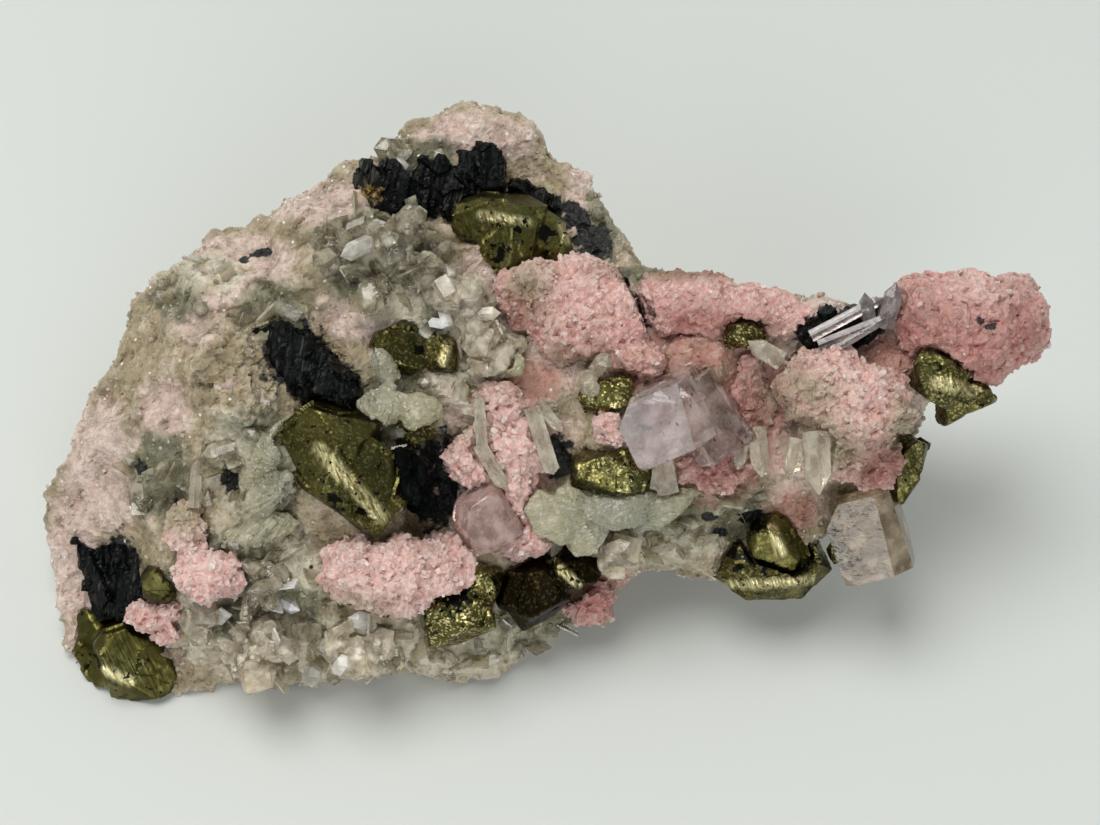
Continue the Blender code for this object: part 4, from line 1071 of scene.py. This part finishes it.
print("chalcopyrite")
brassTriangles = 0
for part, (tarnish, sparkle) in brassNodes.items():
    crystal = copyNode(f"chalcopyrite_{part}", f"brassy_{part}")
    remesh(crystal, brassValues["voxel"])
    roughen(crystal, brassValues["layers"])
    across, up = onFace(readPoints(crystal))[:2]
    bright = np.zeros(len(across))
    for start, end, halfWidth in brightBands:
        bright = np.maximum(bright, 1.6 - 1.2 * distanceToLine(across, up, [start, end]) / halfWidth)
    storeMask(crystal, "bright", bright)
    storeMask(crystal, "dark", roundSpots(across, up, darkSpots.get(part, [])))
    storeEven(crystal, "tarnish", tarnish)
    storeEven(crystal, "sparkle", sparkle)
    makeActive(crystal)
    bpy.ops.object.shade_smooth_by_angle(angle=math.radians(20))
    brassTriangles += countTriangles(crystal)
    finishPiece(crystal, brassMaterial, [f"chalcopyrite_{part}"])
print("chalcopyrite triangles", brassTriangles)


# ---- sphalerite

blackValues = {
    "voxel": 0.22,
    "plates": dict(perSquare=0.15, gap=0.8, size=(0.0004, 0.0008), tilt=75, seed=301, family=1.5),
    "brownSpot": (-16.5, 19.6, 2.2, 1.6),
}
blackNodes = ["top", "top_right", "middle", "lower_left", "arm", "pocket"]
# where a piece runs out into the rock towards the left: from where, how far and how deep
sunkEnds = {"top": (-12.5, 5.5, 2.2), "middle": (-22.5, 3.0, 1.2), "lower_left": (-40.4, 2.4, 1.4)}


def plated(tree, place):
    # long ridges that run up the face, broken by flat faces
    drawn = along(tree, place, (0, 0, 0.25), (1, 0.14, 0.14))
    ridge = minus(tree, noise(tree, drawn, 0.7, 3.0), 0.5)
    whole = plus(tree, times(tree, ridge, 1.1), times(tree, facets(tree, place, 2.0), 0.9))
    return times(tree, whole, 0.9 * mm)


print("sphalerite")
for index, part in enumerate(blackNodes):
    ore = copyNode(f"sphalerite_{part}", f"black_{part}")
    remesh(ore, blackValues["voxel"], 1)
    displace(ore, plated)
    storeEven(ore, "grown", 0)
    points = readPoints(ore)
    across, up = onFace(points)[:2]
    if part in sunkEnds:
        edge, reach, drop = sunkEnds[part]
        sink = drop * np.clip((edge - across) / reach, 0, 1) ** 1.5
        writePoints(ore, points - np.outer(sink * mm, np.array(faceOut)))
    storeMask(ore, "brown", softSpots(across, up, [blackValues["brownSpot"]], 1.2, 1, 1))
    grow(ore, sugarShapes, seeded(blackValues["plates"], index))
    material = pocketMaterial if part == "pocket" else blackMaterial
    finishPiece(ore, material, [f"sphalerite_{part}"])


# ---- calcite

# where each one's ribs meet on the face, how many there are in a full turn, how broken and how ribbed it is
calciteRoots = {
    "lens": (6.4, -9.4, 60, 0.3, 0.4),
    "green_lens": (-17.4, 3.4, 46, 0.5, 0.6),
    "fan": (-21.6, -5.4, 56, 0.6, 1.0),
    "ivory": (-7.4, 7.0, 40, 0.4, 0.6),
}


def ribbed(tree, place):
    rib = minus(tree, readMask(tree, "rib"), 0.5)
    return times(tree, rib, 0.12 * mm)


print("calcite")
for part, (rootAcross, rootUp, count, rugged, ribShare) in calciteRoots.items():
    lens = copyNode(f"calcite_{part}", f"pearly_{part}")
    remesh(lens, 0.2, 6)
    roughen(lens, [("noise", 3.4, 1.1), ("facets", 2.4, 1.2 * rugged), ("facets", 1.1, 0.8 * rugged)])
    across, up, out = onFace(readPoints(lens))
    turn = np.arctan2(up - rootUp, across - rootAcross)
    apart = np.hypot(across - rootAcross, up - rootUp)
    waver = 2.2 * np.sin(0.9 * across + 0.6 * up) + 1.5 * np.sin(1.3 * out + 0.7 * across)
    fade = ribShare * np.clip(apart / 2.5, 0, 1)
    rib = 0.25 * np.sin(count * turn + waver) + 0.15 * np.sin(2.3 * count * turn + 2 * waver)
    storeMask(lens, "rib", 0.5 + rib * fade)
    storeMask(lens, "root", 1.3 - apart / 5)
    displace(lens, ribbed)
    finishPiece(lens, calciteMaterial, [f"calcite_{part}"])
dome = copyNode("calcite_left_dome", "beige_dome")
remesh(dome, 0.24, 2)
roughen(dome, [("noise", 3.0, 1.0), ("facets", 1.6, 1.2), ("facets", 0.8, 0.5)])
storeRelief(dome, "relief", 8, 0.4)
paintRock(dome)
finishPiece(dome, rockMaterial, ["calcite_left_dome"])


# ---- quartz and fluorite keep their flat faces, with their edges worn a little

def wornCrystal(nodeName, pieceName, materialName, width=0.07):
    crystal = copyNode(nodeName, pieceName)
    sharp = math.radians(22)  # only edges over this angle are worn
    addModifier(crystal, "BEVEL", width=width * mm, segments=1, limit_method="ANGLE", angle_limit=sharp)
    finishPiece(crystal, crystals[materialName], [nodeName])


quartzNodes = [
    "needle", "pale_prism", "twin_points", "hanging_point", "beside_bud", "clear_point", "arm_spray",
    "glassy_left", "slim_clear", "above_knob",
]
# groups of points that grew together, and what each is made of
clusterNodes = {
    "shoulder": "quartz spray", "top_left": "quartz spray", "middle": "shelf quartz",
    "below_calcite": "shelf quartz", "lower_shelf": "shelf quartz", "shelf_middle": "shelf quartz",
    "left_hollow": "quartz spray",
}
clusterValues = {
    "voxel": 0.24,
    "layers": [("noise", 3.0, 1.2), ("facets", 3.0, 1.8), ("facets", 1.3, 0.4)],
    "points": dict(perSquare=0.2, gap=1.1, size=(0.0014, 0.0032), tilt=65, seed=601, family=2.4),
}


print("quartz and fluorite")
for part in quartzNodes:
    kind = "arm quartz" if part == "arm_spray" else "quartz"
    wornCrystal(f"quartz_{part}", f"points_{part}", kind)
for index, (part, kind) in enumerate(clusterNodes.items()):
    cluster = copyNode(f"quartz_{part}", f"cluster_{part}")
    remesh(cluster, clusterValues["voxel"], 3)
    roughen(cluster, clusterValues["layers"])
    across, up = onFace(readPoints(cluster))[:2]
    storeEven(cluster, "grown", 0)
    storeMask(cluster, "gleam", softSpots(across, up, gleamSpots))
    grow(cluster, quartzShapes, seeded(clusterValues["points"], index))
    finishPiece(cluster, crystals[kind], [f"quartz_{part}"])
wornCrystal("fluorite_block", "clear_block", "fluorite", 0.12)
wornCrystal("fluorite_lilac", "clear_lilac", "lilac crystal", 0.1)
wornCrystal("clear_crystal", "clear_end", "clear quartz", 0.1)


# ---- clear away the grain shapes

for collection in (sugarShapes, crustShapes, quartzShapes):
    for shape in list(collection.objects):
        bpy.data.objects.remove(shape)
    bpy.data.collections.remove(collection)


# ---- floor, light and camera

stageValues = {
    "floorSize": 3.0,
    "floorColour": (0.685, 0.717, 0.69),
    "lens": 70,
    "distance": 192,
    "world": 0.53,
    "worldColours": [
        (0.0, (0.95, 0.98, 0.96)), (0.5, (1, 1.03, 1.0)),
        (0.8, (0.14, 0.15, 0.15)), (1, (0.04, 0.04, 0.04))],
    "key": dict(place=(-0.12, 0.06, 0.6), size=0.46, power=2.4, colour=(1, 0.98, 0.95)),
    "fill": dict(place=(0.05, -0.62, 0.3), size=0.5, power=2.0, colour=(0.97, 0.98, 1)),
    "target": (0.02, 0, 0.02),  # the point that both lights face
}


def floorFinish():
    material, tree, shader, place = newMaterial("pale floor")
    pale = stageValues["floorColour"]
    drift = noise(tree, place, 60, 2.0)
    colour = mixColour(tree, drift, tuple(0.98 * part for part in pale), pale)
    tree.links.new(colour, shader.inputs["Base Color"])
    setShader(shader, Roughness=0.75)
    return material


def softRoom():
    # a pale room, brighter overhead and darker towards the one who looks on
    world = bpy.data.worlds.new("soft room")
    bpy.context.scene.world = world
    world.use_nodes = True
    tree = world.node_tree
    where = addNode(tree, "ShaderNodeTexCoord").outputs["Generated"]
    towards = dotProduct(tree, where, faceDirection(0.1, -0.25, 1))
    background = tree.nodes["Background"]
    tree.links.new(ramp(tree, towards, stageValues["worldColours"]), background.inputs["Color"])
    background.inputs["Strength"].default_value = stageValues["world"]


def addLight(name):
    values = stageValues[name]
    light = bpy.data.lights.new(name, "AREA")
    light.shape = "DISK"
    light.size = values["size"]
    light.energy = values["power"]
    light.color = values["colour"]
    lamp = bpy.data.objects.new(name, light)
    lamp.location = values["place"]
    towards = Vector(stageValues["target"]) - lamp.location
    lamp.rotation_euler = towards.to_track_quat("-Z", "Y").to_euler()
    bpy.context.scene.collection.objects.link(lamp)


print("floor, light and camera")
deselectAll()
bpy.ops.mesh.primitive_grid_add(x_subdivisions=8, y_subdivisions=8, size=stageValues["floorSize"])
floor = bpy.context.object
floor.name = "floor"
floor.data.materials.append(floorFinish())
softRoom()
bpy.context.scene.view_settings.view_transform = "Standard"
addLight("key")
addLight("fill")

cameraData = bpy.data.cameras.new("camera")
cameraData.lens = stageValues["lens"]
cameraData.sensor_width = 36
cameraData.clip_start = 0.01
camera = bpy.data.objects.new("camera", cameraData)
bpy.context.scene.collection.objects.link(camera)
camera.location = faceMiddle + faceOut * stageValues["distance"] * mm
camera.rotation_euler = (-faceOut).to_track_quat("-Z", "Y").to_euler()
bpy.context.scene.camera = camera

print("made")
